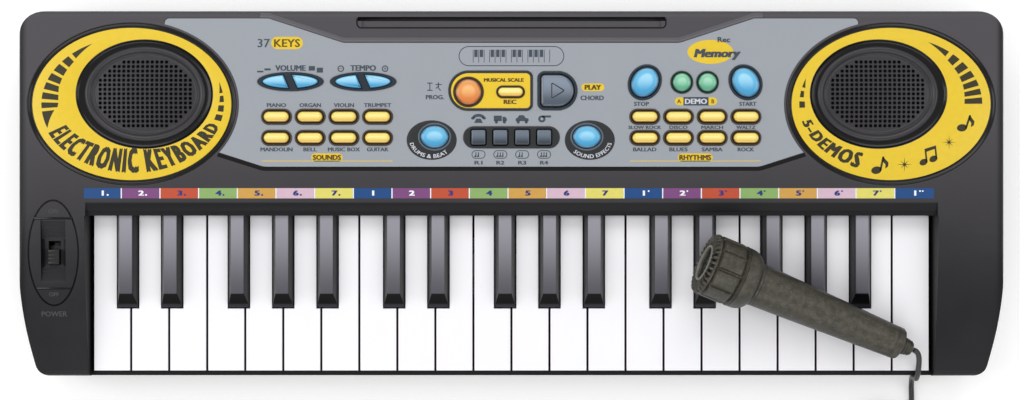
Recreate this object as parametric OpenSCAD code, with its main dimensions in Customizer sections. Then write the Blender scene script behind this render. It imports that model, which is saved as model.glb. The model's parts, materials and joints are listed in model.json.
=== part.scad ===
// Toy electronic keyboard with 37 keys, push buttons, two speakers and a hand microphone.
// Millimetres. X runs along the keys, +Y to the back, +Z up. The feet stand on z = 0.

/* [Case] */
// Overall width
case_w = 542; // [536:1:560]
// Overall depth, front to back
case_d = 201.5; // [200:0.5:203]
// Height of the flat top deck above the table
deck_z = 46; // [45:0.5:48]
// Height of the joint between the two case halves
split_z = 20; // [18:0.5:21]
// Height of the feet under the bottom case
foot_h = 3; // [2:0.5:4]
// Wall thickness of the moulded case
wall = 2.4; // [2:0.1:2.8]
// Radius of the two back corners
back_corner_r = 15; // [10:1:20]
// Radius of the two front corners
front_corner_r = 8; // [5:1:12]
// How far each side draws in towards the front
side_taper = 9.5; // [0:0.5:10]
// How far the arm rests at the ends of the keys fall towards the front
cheek_drop = 8; // [4:1:9]

/* [Keys] */
// Distance from one white key to the next
key_pitch = 21.1; // [20.6:0.1:21.2]
// Gap between two white keys
key_gap = 1.2; // [0.8:0.1:1.4]
// Height of the white keys' playing surface
white_top_z = 35; // [34:0.5:36]
// Height of the black keys' playing surface
black_top_z = 42; // [41:0.25:42.25]
// Width of a black key at its foot
black_w = 11.2; // [10:0.1:11.6]
// Width of a black key's playing surface
black_top_w = 6.8; // [6:0.1:8]

/* [Speakers] */
// Distance of each speaker from the centre line
speaker_x = 201.2; // [195:0.2:205]
// Distance of the speakers behind the centre of the case
speaker_y = 55; // [52:0.2:56]
// Half width of the opening for a speaker grille
grille_a = 34.4; // [33:0.2:36]
// Half depth of the opening for a speaker grille
grille_b = 27.3; // [26:0.2:28]
// Distance between two sound holes
sound_hole_pitch = 2.6; // [2.4:0.1:3]

/* [Buttons] */
// How far the button caps stand above the deck
cap_h = 2; // [1.5:0.1:3]
// How far a button travels
button_travel = 1.2; // [1:0.1:1.2]
// Gap between a cap and the hole that guides it
cap_gap = 0.35; // [0.3:0.05:0.5]
// Width of the dark rim that shows around a cap
rim_w = 1.2; // [0.8:0.1:1.2]

/* [Microphone] */
// Length of the ribbed head
mic_head_l = 30; // [28:1:31]
// Length of the handle
mic_handle_l = 90; // [80:1:90]
// Largest diameter of the head
mic_head_d = 34.4; // [30:0.2:35]
// Diameter of the cord
cord_d = 3; // [2.6:0.1:3.2]

/* [Hidden] */
eps = 0.01;
arc_steps = 8;
white_count = 22;
white_names = ["c", "d", "e", "f", "g", "a", "b"];
// Each black key: the white key to its left, its name, and how far it stands off the gap.
black_in_octave = [
    [0, "c_sharp", -1.7], [1, "d_sharp", 1.7],
    [3, "f_sharp", -3.5], [4, "g_sharp", 0], [5, "a_sharp", 3.5]
];
octaves = 3;
black_keys = [for (o = [0:octaves - 1], b = black_in_octave)
    [b[0] + 7 * o, str("black_key_", b[1], "_", o + 1), b[2]]];
function white_name(i) = str("white_key_", white_names[i % 7], "_", floor(i / 7) + 1);

// Case
half_w = case_w / 2;
half_d = case_d / 2;
taper_y = -62;
side_bend = 215;
edge_r = 4;
bottom_bevel = 3;
deck_under_z = deck_z - wall;
floor_z = foot_h + wall;

// Opening over the keys
keys_half_w = white_count * key_pitch / 2;
opening_back_y = -4.1;
ledge_y = -9.3;
ledge_z = 44.2;
ledge_t = 1.4;
shelf_y = -11.9;
shelf_z = 43.6;
opening_slope = 1.6;
opening_side = keys_half_w + 1.1;
lip_w = 2.2;
lip_top_z = 32;

// Keys
key_front_y = -97.9;
key_back_y = 12;
key_bottom_z = 23;
key_wall = 1.6;
pivot_y = 18;
pivot_z = 30;
pivot_r = 2.5;
black_front_y = -62.9;
black_slope_l = 7.4;
notch_gap = 0.6;
plunger_y = -40;
plunger_bottom_z = 19.5;
white_w = key_pitch - key_gap;

// Control panel
panel_t = 1.2;
panel_z = deck_z - panel_t;
ring_x = 208.4;
ring_y = 49.4;
ring_a = 57.5;
ring_b = 44.7;

// Buttons
web_z = deck_under_z - 1.2 - button_travel;
web_t = 1.1;
flange = 1;
cap_top_z = deck_z + cap_h;
column_pitch = 18.5;
sound_x = [for (i = [0:3]) -129 + i * column_pitch];
rhythm_x = [for (i = [0:3]) 73.2 + i * column_pitch];
row_y = [30.8, 42.4];
rocker_x = [-121.3, -81.4];
rocker_y = 61.7;
round_y = 61.3;
bridge_y = round_y + 11.5;
stop_x = 73.2;
start_x = 128.5;
demo_x = [93.5, 107.6];
knob_x = [-42.2, 41.4];
knob_y = 31.4;
pad_x = [-18.1, -6.1, 5.9, 17.9];
pad_y = 31.1;
play_x = 25.2;
play_y = 56.7;
play_r = 8.8;
program_x = -23.6;
record_x = -0.5;
record_y = 56;
plate_r = 10.9;
plate_l = 35.2;

// Circuit boards
board_t = 1.6;
main_board_z = 36;
key_board_z = 12.4;
main_board_half_w = 143;
main_board_y = [24.5, 80];
standoff_places = [for (s = [-1, 1], p = [[139, 52], [139, 76], [45, 76]]) [s * p[0], p[1]]];
standoff_r = 3;
board_screw_r = 1;
board_screw_hole_r = 1.1;
mat_z = main_board_z + board_t;
mat_t = 1;

// Screws: the places of the posts that join the case halves
post_places = [for (s = [-1, 1], p = [[252, 84], [252, -72], [100, 88], [150, 30]]) [s * p[0], p[1]]];
post_r = 3.6;
screw_r = 1.15;
screw_hole_r = 1.25;
screw_head_r = 2.8;
screw_head_z = foot_h + 2;

// Battery compartment
cell_r = 7.1;
cell_l = 49;
cells_half_x = 58;
cells_front_y = 42;
cells_back_y = 79;
cells_top_z = 22;
door_t = 2;
door_hinge_y = 76.5;
door_hinge_z = foot_h + 1.4;

// Loudspeakers
speaker_r = 28;
speaker_top_z = deck_under_z - 1.8;
ear_y = 33;
ear_r = 5;
ear_t = 2.2;

// Sockets in the back wall: for the microphone's plug and for a power plug
sockets = [[-176, 1.8, 14], [-152, 2.8, 10]];
socket_z = 30;
socket_barrel_r = 4;

// Power switch in the left arm rest
switch_x = -251.8;
switch_y = -32.4;
switch_scoop_w = 13.6;
switch_scoop_r = 42;
switch_scoop_z = 41;
switch_slot_w = 6.8;
switch_slot_l = 13;
switch_knob_l = 8;
switch_floor_z = 37.6;

// Music rest slot at the back
rest_half_w = 84.5;
rest_y = 96.1;
rest_w = 2.2;
rest_depth = 9;
rest_trough_d = 1;

// Microphone: its pose on the keys, and the cord that leaves it
mic_at = [104, -37, 60.5];
mic_yaw = -22.6;
mic_tilt = 8;
mic_relief_l = 7;
coil_at = [212, -145];
coil_mid_r = 17;
coil_w = 12;
coil_h = 9.4;
plug_at = [189, -162, 4.6];

// The cord from the microphone, over the front of the case and along the table to the coil
cord_route = [
    [221.5, -85.9, 42.6], [223.1, -86.8, 42.2], [224.3, -88.5, 41.5], [224.9, -90.8, 40.6],
    [225.1, -93.4, 39.5], [225.1, -96.2, 38.4], [225.1, -98.8, 37.1], [225.2, -101.2, 34.7],
    [225.4, -102.6, 31.2], [225.8, -102.9, 26], [226.4, -102.9, 20], [227, -103.2, 14],
    [227.6, -104.4, 9], [228.2, -107, 5], [228.6, -110.6, 2.7], [228.9, -114.6, 1.7],
    [229, -119.4, 1.5], [229, -124.4, 1.5], [229, -129.4, 1.5]
];

// The points of an arc that rounds the corner b between a and c.
function unit(v) = v / norm(v);
function round_corner(a, b, c, r) =
    let (u = unit(a - b), v = unit(c - b),
         half = acos(u * v) / 2,
         middle = b + unit(u + v) * r / sin(half),
         first = b + u * r / tan(half) - middle,
         last = b + v * r / tan(half) - middle,
         start = atan2(first[1], first[0]),
         turn = atan2(last[1], last[0]) - start,
         sweep = turn > 180 ? turn - 360 : turn < -180 ? turn + 360 : turn)
    [for (i = [0:arc_steps]) middle + r * [cos(start + sweep * i / arc_steps),
                                           sin(start + sweep * i / arc_steps)]];

// A polygon whose corners [x, y, radius] are rounded.
function rounded(corners) = [for (i = [0:len(corners) - 1])
    let (n = len(corners), p = corners[i], a = corners[(i + n - 1) % n], c = corners[(i + 1) % n])
    each p[2] > 0
        ? round_corner([a[0], a[1]], [p[0], p[1]], [c[0], c[1]], p[2])
        : [[p[0], p[1]]]];

function ellipse_points(a, b, steps = 48) = [for (i = [0:steps - 1])
    [a * cos(360 * i / steps), b * sin(360 * i / steps)]];

// Plan of the case, drawn in by inset on all sides.
function case_outline(inset) =
    let (w = half_w - inset, d = half_d - inset, front = half_w - side_taper - inset,
         rb = max(back_corner_r - inset, 1), rf = max(front_corner_r - inset, 1))
    rounded([[w, d, rb], [-w, d, rb], [-w, taper_y, side_bend], [-front, -d, rf],
             [front, -d, rf], [w, taper_y, side_bend]]);

// Height of the arm rests and the deck at a distance y from the middle.
function top_z(y) = deck_z - cheek_drop * pow(max(0, (opening_back_y - y) / (half_d + opening_back_y)), 2);

module place_both() {
    for (s = [-1, 1]) translate([s * speaker_x, speaker_y, 0]) children();
}

// A solid along X whose section in Y and Z is the case from above, lowered by drop.
module top_profile(drop) {
    front = -half_d + drop;
    r = edge_r - drop;
    steps = 14;
    front_z = top_z(-half_d + edge_r) - drop;
    rise = [for (i = [0:steps])
        let (y = -half_d + edge_r + (half_d + opening_back_y - edge_r) * i / steps)
        [max(y, front + r), top_z(y) - drop]];
    round_front = [for (i = [0:arc_steps - 1])
        let (t = 180 - 90 * i / arc_steps)
        [front + r + r * cos(t), front_z - r + r * sin(t)]];
    round_back = [for (i = [0:arc_steps])
        let (t = 90 - 90 * i / arc_steps)
        [half_d - edge_r + r * cos(t), deck_z - edge_r + r * sin(t)]];
    rotate([90, 0, 90])
        linear_extrude(case_w + 2, center = true)
            polygon(concat([[front, split_z - 1]], round_front, rise, round_back,
                           [[half_d - drop, split_z - 1]]));
}

// A solid along Y that rounds the long side edges.
module side_profile(drop) {
    r = edge_r - drop;
    right = [for (i = [0:arc_steps])
        let (t = 90 * i / arc_steps) [half_w - edge_r + r * cos(t), deck_z - edge_r + r * sin(t)]];
    left = [for (i = [arc_steps:-1:0]) [-right[i][0], right[i][1]]];
    rotate([90, 0, 0])
        linear_extrude(case_d + 2, center = true)
            polygon(concat([[half_w - drop, split_z - 1]], right, left, [[drop - half_w, split_z - 1]]));
}

module top_body(drop, bottom) {
    intersection() {
        translate([0, 0, bottom])
            linear_extrude(deck_z - bottom)
                polygon(case_outline(drop));
        top_profile(drop);
        side_profile(drop);
    }
}

module box(x0, x1, y0, y1, z0, z1) {
    translate([x0, y0, z0]) cube([x1 - x0, y1 - y0, z1 - z0]);
}

module capsule(w, d) {
    square([w - d, d], center = true);
    for (s = [-1, 1]) translate([s * (w - d) / 2, 0]) circle(d = d, $fn = 40);
}

module ellipse(a, b) {
    polygon(ellipse_points(a, b));
}

// Plans of the button caps, grown by grow on all sides
module sound_caps(xs, grow) {
    for (x = xs, y = row_y) translate([x, y]) capsule(14.2 + 2 * grow, 6 + 2 * grow);
}

// Half of a lens shape, cut by a slanting bar
module lens_half(side, grow) {
    a = 16.2;
    b = 4.2;
    slant = 2.4;
    bar = 1.3 - grow;
    intersection() {
        ellipse(a + grow, b + grow);
        polygon([[side * (a + 2), b + 2], [side * bar - slant, b + 2], [side * bar + slant, -b - 2],
                 [side * (a + 2), -b - 2]]);
    }
}

module rocker_caps(grow) {
    for (x = rocker_x, s = [-1, 1]) translate([x, rocker_y]) lens_half(s, grow);
}

module oval(x, turn, grow) {
    translate([x, round_y]) rotate(turn) ellipse(8.6 + grow, 7.2 + grow);
}

module stop_start_caps(grow) {
    oval(stop_x, 55, grow);
    oval(start_x, -55, grow);
}

module demo_caps(grow) {
    for (x = demo_x) translate([x, round_y]) circle(r = 5.2 + grow, $fn = 48);
}

module knob_caps(grow) {
    for (x = knob_x) translate([x, knob_y]) ellipse(7.8 + grow, 6.3 + grow);
}

module pad_caps(grow) {
    for (x = pad_x) translate([x, pad_y]) square([8 + 2 * grow, 8.4 + 2 * grow], center = true);
}

module play_cap(grow) {
    translate([play_x, play_y]) {
        translate([0.3, 0]) circle(r = play_r + grow, $fn = 56);
        translate([-4.4, 0]) square([9.3 + 2 * grow, 2 * (play_r + grow)], center = true);
    }
}

module program_cap(grow) {
    translate([program_x, record_y]) circle(r = 7.2 + grow, $fn = 48);
}

module record_cap(grow) {
    translate([record_x, record_y]) capsule(14 + 2 * grow, 5.2 + 2 * grow);
}

module all_caps(grow) {
    sound_caps(sound_x, grow);
    sound_caps(rhythm_x, grow);
    rocker_caps(grow);
    stop_start_caps(grow);
    demo_caps(grow);
    knob_caps(grow);
    pad_caps(grow);
    play_cap(grow);
    program_cap(grow);
    record_cap(grow);
}

// Cut-outs in the panel, through which the dark rims around the caps show
module panel_windows() {
    sound_caps(sound_x, rim_w);
    sound_caps(rhythm_x, rim_w);
    for (x = rocker_x) translate([x, rocker_y]) ellipse(18.1, 5.1);
    stop_start_caps(rim_w);
    demo_caps(0.9);
    for (x = knob_x) translate([x + sign(x) * 1.6, 29.6]) ellipse(13.7, 10.8);
    translate([0, pad_y]) capsule(53, 12);
    play_cap(2);
    translate([program_x, play_y]) circle(r = plate_r, $fn = 56);
    translate([program_x, play_y - plate_r]) square([plate_l, 2 * plate_r]);
}

// Plan of the grey panel between the speaker rings
module panel_plan(inset) {
    x_top = 191 - inset;
    y_top = 96.6 - inset;
    y_dip = 83.2 - inset;
    y_low = 14.8 + inset;
    dip_x = 92.5 - inset;
    dip_slope = 41;
    difference() {
        polygon(rounded([
            [-x_top, y_top, 2.5], [-dip_x - dip_slope, y_top, 3], [-dip_x, y_dip, 8], [dip_x, y_dip, 8],
            [dip_x + dip_slope, y_top, 3], [x_top, y_top, 2.5], [185, 60, 0], [161, y_low + 8, 0],
            [136.4 - inset, y_low, 14], [inset - 136.4, y_low, 14], [-161, y_low + 8, 0], [-185, 60, 0]]));
        for (s = [-1, 1]) translate([s * ring_x, ring_y]) ellipse(ring_a + inset, ring_b + inset);
    }
}

// The opening over the keys, wider at the top than at the keys
module key_opening() {
    top = deck_z + 1;
    rotate([90, 0, 0])
        translate([0, 0, -shelf_y])
            linear_extrude(half_d + 2 + shelf_y)
                polygon([[-opening_side, lip_top_z], [opening_side, lip_top_z], [opening_side, white_top_z],
                         [opening_side + opening_slope, top], [-opening_side - opening_slope, top],
                         [-opening_side, white_top_z]]);
    // sloping step from the deck down to the ledge behind the keys
    rotate([90, 0, 90])
        linear_extrude(2 * opening_side + opening_slope, center = true)
            polygon([[shelf_y - 1, shelf_z], [ledge_y - 0.4, shelf_z], [ledge_y, ledge_z],
                     [opening_back_y, deck_z], [opening_back_y, top], [shelf_y - 1, top]]);
    box(-opening_side, opening_side, -half_d + lip_w, pivot_y + 6, split_z - 2, ledge_z - ledge_t);
}

module top_case() {
    color("#4a484b")
    difference() {
        union() {
            difference() {
                top_body(0, split_z);
                top_body(wall, split_z - 1);
            }
            intersection() {
                top_body(0.5, split_z);
                inner_walls();
            }
            intersection() {
                top_body(0.5, split_z);
                for (p = post_places) translate([p[0], p[1], split_z])
                    cylinder(r = post_r, h = deck_z, $fn = 32);
            }
            for (p = standoff_places) translate([p[0], p[1], main_board_z + board_t])
                cylinder(r = standoff_r, h = deck_under_z - main_board_z - board_t + eps, $fn = 32);
            place_both() for (s = [-1, 1]) translate([0, s * ear_y, speaker_top_z])
                cylinder(r = standoff_r, h = deck_under_z - speaker_top_z + eps, $fn = 32);
        }
        key_opening();
        translate([0, 0, panel_z]) linear_extrude(5) panel_plan(0);
        translate([0, 0, split_z]) linear_extrude(30) all_caps(cap_gap);
        place_both() translate([0, 0, deck_under_z - 1]) linear_extrude(10) ellipse(grille_a, grille_b);
        place_both() for (s = [-1, 1]) translate([0, s * ear_y, speaker_top_z - 1])
            cylinder(r = board_screw_hole_r, h = 4, $fn = 24);
        rest_slot();
        for (p = post_places) translate([p[0], p[1], split_z - 1])
            cylinder(r = screw_hole_r, h = 19, $fn = 24);
        for (p = standoff_places) translate([p[0], p[1], main_board_z])
            cylinder(r = board_screw_hole_r, h = 7, $fn = 24);
        switch_recess();
        for (k = sockets) translate([k[0], half_d + 1, socket_z]) rotate([90, 0, 0])
            cylinder(r = socket_barrel_r + 0.1, h = 6, $fn = 40);
    }
}

// Walls inside the top case: beside and before the keys, around the slots
module inner_walls() {
    rim = opening_slope + 2.4;
    for (s = [-1, 1]) translate([s * (opening_side + rim / 2), 0, 0])
        box(-rim / 2, rim / 2, -half_d + 1, opening_back_y, split_z, deck_z);
    box(-opening_side, opening_side, -half_d + 0.6, -half_d + lip_w, split_z, lip_top_z);
    box(-opening_side, opening_side, shelf_y, opening_back_y + 2, ledge_z - ledge_t, deck_z);
    box(-rest_half_w - 2, rest_half_w + 2, rest_y - 5, half_d - 1, deck_z - rest_depth - 1.6, deck_z);
    box(switch_x - switch_scoop_w / 2 - 1.6, switch_x + switch_scoop_w / 2 + 1.6,
        switch_y - 20, switch_y + 20, switch_floor_z, deck_z);
}

// Slot for the foot of a music stand, with a shallow trough before it
module rest_slot() {
    box(-rest_half_w, rest_half_w, rest_y - rest_w / 2, rest_y + rest_w / 2,
        deck_z - rest_depth, deck_z + 1);
    box(-rest_half_w + 2.5, rest_half_w - 2.5, rest_y - 4.4, rest_y - rest_w / 2 + eps,
        deck_z - rest_trough_d, deck_z + 1);
}

// Finger scoop and slot of the power switch
module switch_recess() {
    translate([switch_x - switch_scoop_w / 2, switch_y, switch_scoop_z + switch_scoop_r])
        rotate([0, 90, 0]) cylinder(r = switch_scoop_r, h = switch_scoop_w, $fn = 96);
    box(switch_x - switch_slot_w / 2, switch_x + switch_slot_w / 2,
        switch_y - switch_slot_l / 2, switch_y + switch_slot_l / 2, switch_floor_z - 1, deck_z);
}

// A solid along X and one along Y that bevel the lower edges of the bottom case
module bottom_bevels() {
    module bevelled(half) {
        flat = half - bottom_bevel;
        polygon([[-half, foot_h + bottom_bevel], [-flat, foot_h], [flat, foot_h],
                 [half, foot_h + bottom_bevel], [half, split_z], [-half, split_z]]);
    }
    intersection() {
        rotate([90, 0, 90]) linear_extrude(case_w + 2, center = true) bevelled(half_d);
        rotate([90, 0, 0]) linear_extrude(case_d + 2, center = true) bevelled(half_w);
    }
}

module bottom_case() {
    rail_t = 6;
    box_wall = 1.6;
    foot_x = [-225, 0, 225];
    foot_y = [-78, 88];
    foot_r = 8;
    color("#3c3b3e")
    difference() {
        union() {
            intersection() {
                difference() {
                    translate([0, 0, foot_h]) linear_extrude(split_z - foot_h) polygon(case_outline(0));
                    translate([0, 0, floor_z]) linear_extrude(split_z) polygon(case_outline(wall));
                }
                bottom_bevels();
            }
            // rail that cradles the pivots of the keys, on a thinner web
            box(-keys_half_w, keys_half_w, pivot_y - rail_t / 2, pivot_y + rail_t / 2,
                pivot_z - 6, pivot_z - 0.5);
            box(-keys_half_w, keys_half_w, pivot_y - 1.5, pivot_y + 1.5, floor_z - eps, pivot_z - 6 + eps);
            // ribs under the key contact board
            for (y = [-56, -26]) box(-keys_half_w, keys_half_w, y - 1, y + 1, floor_z - eps, key_board_z);
            // battery box
            box(-cells_half_x - box_wall, cells_half_x + box_wall, cells_front_y - box_wall,
                cells_back_y + box_wall, foot_h + eps, cells_top_z + box_wall);
            for (p = post_places) translate([p[0], p[1], foot_h + eps])
                cylinder(r = post_r + 0.9, h = split_z - foot_h - eps, $fn = 32);
            for (x = foot_x, y = foot_y) translate([x, y, 0]) cylinder(r = foot_r, h = foot_h + 1, $fn = 48);
        }
        translate([0, pivot_y, pivot_z]) rotate([0, 90, 0])
            cylinder(r = pivot_r + 0.1, h = 2 * keys_half_w + 1, center = true, $fn = 40);
        box(-cells_half_x, cells_half_x, cells_front_y, cells_back_y, foot_h - 1, cells_top_z);
        for (p = post_places) translate([p[0], p[1], 0]) {
            translate([0, 0, foot_h - 1])
                cylinder(r = screw_head_r + 0.4, h = screw_head_z - foot_h + 1, $fn = 32);
            cylinder(r = 1.7, h = split_z + 1, $fn = 24);
        }
    }
}

module control_panel() {
    color("#a3a8b0")
    translate([0, 0, panel_z])
        linear_extrude(panel_t)
            difference() {
                panel_plan(0.2);
                panel_windows();
            }
}

// A grille: flange under the deck, round ridge, and a plate with sound holes
module speaker_grilles() {
    plate_a = 27.5;
    plate_b = 21;
    ridge_z = deck_z + 0.6;
    flange_z = deck_under_z - 1.6;
    color("#2b2a2d")
    place_both() difference() {
        union() {
            translate([0, 0, flange_z]) linear_extrude(1.5) ellipse(grille_a + 2, grille_b + 2);
            translate([0, 0, flange_z])
                linear_extrude(ridge_z - flange_z) ellipse(grille_a - 0.4, grille_b - 0.4);
        }
        translate([0, 0, deck_z - 1.2]) linear_extrude(3) ellipse(grille_a - 5.4, grille_b - 5.4);
        translate([0, 0, flange_z - 1]) linear_extrude(2) ellipse(plate_a, plate_b);
        translate([0, 0, flange_z - 1])
            linear_extrude(6)
                for (i = [-10:10], j = [-7:7])
                    let (x = i * sound_hole_pitch, y = j * sound_hole_pitch)
                        if (pow(x / (plate_a - 1), 2) + pow(y / (plate_b - 1), 2) < 0.94)
                            translate([x, y]) circle(d = 1.5, $fn = 16);
    }
}

// Loudspeakers: basket, cone and magnet
module speakers() {
    color("#6f7277")
    place_both() translate([0, 0, speaker_top_z]) {
        rotate_extrude($fn = 64)
            polygon([[0, -22], [14, -22], [14, -14], [17, -13], [24, -3], [speaker_r, -3], [speaker_r, 0],
                     [25, 0], [23, -1.5], [8, -9], [0, -7]]);
        for (s = [-1, 1]) difference() {
            translate([0, s * ear_y, -ear_t]) {
                cylinder(r = ear_r, h = ear_t, $fn = 40);
                translate([-ear_r, s < 0 ? 0 : -8, 0]) cube([2 * ear_r, 8, ear_t]);
            }
            translate([0, s * ear_y, -ear_t - 1]) cylinder(r = board_screw_hole_r, h = ear_t + 2, $fn = 24);
            translate([0, 0, -ear_t - 1]) cylinder(r = speaker_r - 0.5, h = ear_t + 2, $fn = 64);
        }
    }
}

// Main board under the buttons, key contact board, the two sockets and the power switch body
module circuit_boards() {
    color("#2f6b45") {
        difference() {
            box(-main_board_half_w, main_board_half_w, main_board_y[0], main_board_y[1],
                main_board_z, main_board_z + board_t);
            for (p = standoff_places) translate([p[0], p[1], main_board_z - 1])
                cylinder(r = board_screw_hole_r, h = board_t + 2, $fn = 24);
        }
        box(-keys_half_w + 2, keys_half_w - 2, -57, -25, key_board_z, key_board_z + board_t);
    }
    color("#232326") {
        for (k = sockets) translate([k[0], half_d - 0.2, socket_z]) rotate([90, 0, 0]) difference() {
            union() {
                cylinder(r = socket_barrel_r, h = k[2], $fn = 40);
                translate([-5, -5, 3]) cube([10, 10, k[2] - 3]);
            }
            translate([0, 0, -1]) cylinder(r = k[1], h = k[2] + 2, $fn = 40);
        }
        box(switch_x - 6, switch_x + 6, switch_y - 10, switch_y + 10, 29, switch_floor_z - 2.4);
    }
}

// Rubber mat with a dome under each button and a strip with a dome under each key
module rubber_contacts() {
    button_dome_h = web_z - mat_z - mat_t - 0.1;
    key_dome_h = plunger_bottom_z - key_board_z - board_t - 1.3;
    strip_t = 1.2;
    module dome(at, r, h) translate(at) cylinder(r1 = r, r2 = r * 0.6, h = h, $fn = 20);
    color("#9b9da0") {
        box(-133, 133, 26, 72, mat_z + eps, mat_z + mat_t);
        translate([0, 0, mat_z + mat_t - eps]) {
            for (x = concat(sound_x, rhythm_x), y = row_y) dome([x, y], 2.6, button_dome_h);
            for (x = rocker_x, s = [-1, 1]) dome([x + s * 7, rocker_y], 2.6, button_dome_h);
            for (x = concat([stop_x, start_x], demo_x)) dome([x, round_y], 3, button_dome_h);
            for (x = concat(knob_x, pad_x)) dome([x, pad_y], 3, button_dome_h);
            for (x = [program_x, record_x, play_x]) dome([x, record_y], 3, button_dome_h);
        }
        translate([0, 0, key_board_z + board_t + eps]) {
            box(-keys_half_w + 3, keys_half_w - 3, plunger_y - 6, plunger_y + 6, 0, strip_t);
            for (i = [0:white_count - 1]) dome([white_x(i), plunger_y - 2, strip_t - eps], 3.4, key_dome_h);
            for (k = black_keys) dome([black_x(k), plunger_y + 3, strip_t - eps], 2.4, key_dome_h);
        }
    }
}

module batteries_and_contacts() {
    cell_z = foot_h + door_t + 0.4 + cell_r;
    rows = [cells_front_y + 1 + cell_r, cells_front_y + 3 + 3 * cell_r];
    module disc(x, y, r, h, sides = 32) translate([x, y, cell_z]) rotate([0, 90, 0])
        cylinder(r = r, h = h, center = true, $fn = sides);
    color("#b6b8bd")
    for (s = [-1, 1], i = [0, 1]) {
        middle = s * (cell_l / 2 + 1.4);
        // cell and its raised contact
        disc(middle, rows[i], cell_r, cell_l, 40);
        disc(middle + (i == 0 ? 1 : -1) * (cell_l / 2 + 0.5), rows[i], 2.7, 1);
        // contact plate with a round spring seat at each end
        disc(s * (cells_half_x - 0.5), rows[i], 5.5, 0.8);
        disc(s * (cells_half_x - 2.8), rows[i], 3.4, 3.2);
    }
}

module screws() {
    color("#8d9094") {
        for (p = post_places) translate([p[0], p[1], screw_head_z - 1.8])
            screw(screw_head_r, 1.8, screw_r, 32);
        for (p = standoff_places) translate([p[0], p[1], main_board_z - 1.2 - eps])
            screw(2, 1.2, board_screw_r, 7.5);
        place_both() for (s = [-1, 1]) translate([0, s * ear_y, speaker_top_z - ear_t - 1.2 - eps])
            screw(2, 1.2, board_screw_r, 6);
    }
}

// A cross-head screw that points up, its head on z = 0
module screw(head_r, head_h, r, length) {
    difference() {
        union() {
            cylinder(r = head_r, h = head_h, $fn = 32);
            cylinder(r = r, h = length, $fn = 24);
        }
        for (a = [0, 90]) rotate(a) translate([-head_r * 0.7, -0.4, -1])
            cube([head_r * 1.4, 0.8, 1 + head_h * 0.5]);
    }
}

module battery_door() {
    front = cells_front_y + 0.4;
    half = cells_half_x - 0.5;
    color("#3c3b3e") {
        difference() {
            box(-half, half, front, door_hinge_y, foot_h, foot_h + door_t);
            for (i = [1:5]) box(-9, 9, front + 2 * i, front + 2 * i + 1, foot_h - 1, foot_h + 0.6);
        }
        translate([0, door_hinge_y, door_hinge_z]) rotate([0, 90, 0])
            cylinder(r = 1.3, h = 2 * half, center = true, $fn = 32);
    }
}

// Slide of the power switch: a ribbed knob on a plate under the case
module power_switch() {
    knob_y0 = switch_y - switch_slot_l / 2 + 0.3;
    half = switch_slot_w / 2 - 0.4;
    color("#1f1e21")
    difference() {
        union() {
            box(switch_x - half, switch_x + half, knob_y0, knob_y0 + switch_knob_l, switch_floor_z - 2, 44.4);
            box(switch_x - 5.5, switch_x + 5.5, knob_y0 - 2, knob_y0 + switch_knob_l + 2,
                switch_floor_z - 2, switch_floor_z - 0.4);
        }
        for (i = [0:2]) translate([switch_x, knob_y0 + 2 + 2 * i, 44.4]) cube([10, 0.8, 1.2], center = true);
    }
}

// Flat arms that join the caps of one moulding, from point to point
module arms(points) {
    for (i = [0:len(points) - 2]) let (a = points[i], b = points[i + 1])
        box(min(a[0], b[0]) - 1, max(a[0], b[0]) + 1, min(a[1], b[1]) - 1, max(a[1], b[1]) + 1,
            web_z, web_z + web_t);
}

// Caps with flanges that stop them under the deck; the plans are child 0, the cap, and child 1, the flange
module caps() {
    translate([0, 0, web_z]) linear_extrude(cap_top_z - web_z) children(0);
    translate([0, 0, web_z]) linear_extrude(web_t + 0.6) children(1);
}

module grid_buttons(xs) {
    caps() {
        sound_caps(xs, 0);
        sound_caps(xs, flange);
    }
    for (y = row_y) arms([[xs[0], y], [xs[3], y]]);
    arms([[xs[1], row_y[0]], [xs[1], row_y[1]]]);
}

module sound_buttons() color("#f2cf3e") grid_buttons(sound_x);

module rhythm_buttons() color("#f2cf3e") grid_buttons(rhythm_x);

module volume_tempo_buttons() {
    color("#5cb4e4") {
        caps() {
            rocker_caps(0);
            rocker_caps(0.9);
        }
        arms([[rocker_x[0] - 7, rocker_y], [rocker_x[1] + 7, rocker_y]]);
    }
}

module round_blue_buttons() {
    low_y = 22;
    side_x = 56;
    color("#5cb4e4") {
        caps() {
            union() {
                stop_start_caps(0);
                knob_caps(0);
            }
            union() {
                stop_start_caps(flange);
                knob_caps(flange);
            }
        }
        arms([[knob_x[0], knob_y], [knob_x[0], low_y], [knob_x[1], low_y], [knob_x[1], knob_y],
              [side_x, knob_y], [side_x, bridge_y], [start_x, bridge_y], [start_x, round_y]]);
        arms([[stop_x, round_y], [stop_x, bridge_y]]);
    }
}

module demo_buttons() {
    color("#7fcfa3") {
        caps() {
            demo_caps(0);
            demo_caps(flange);
        }
        arms([[demo_x[0], round_y], [demo_x[1], round_y]]);
    }
}

module pad_play_buttons() {
    color("#4c5566") {
        caps() {
            union() {
                pad_caps(0);
                play_cap(0);
            }
            union() {
                pad_caps(flange);
                play_cap(flange);
            }
        }
        arms([[pad_x[0], pad_y], [pad_x[3], pad_y], [play_x - 1, pad_y], [play_x - 1, play_y]]);
    }
}

module record_buttons() {
    color("#f28a3c") {
        caps() {
            union() {
                program_cap(0);
                record_cap(0);
            }
            union() {
                program_cap(flange);
                record_cap(flange);
            }
        }
        arms([[program_x, record_y], [record_x, record_y]]);
    }
}

// Keys
function white_x(i) = -keys_half_w + key_pitch * (i + 0.5);
function black_x(k) = -keys_half_w + key_pitch * (k[0] + 1) + k[2];
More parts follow.
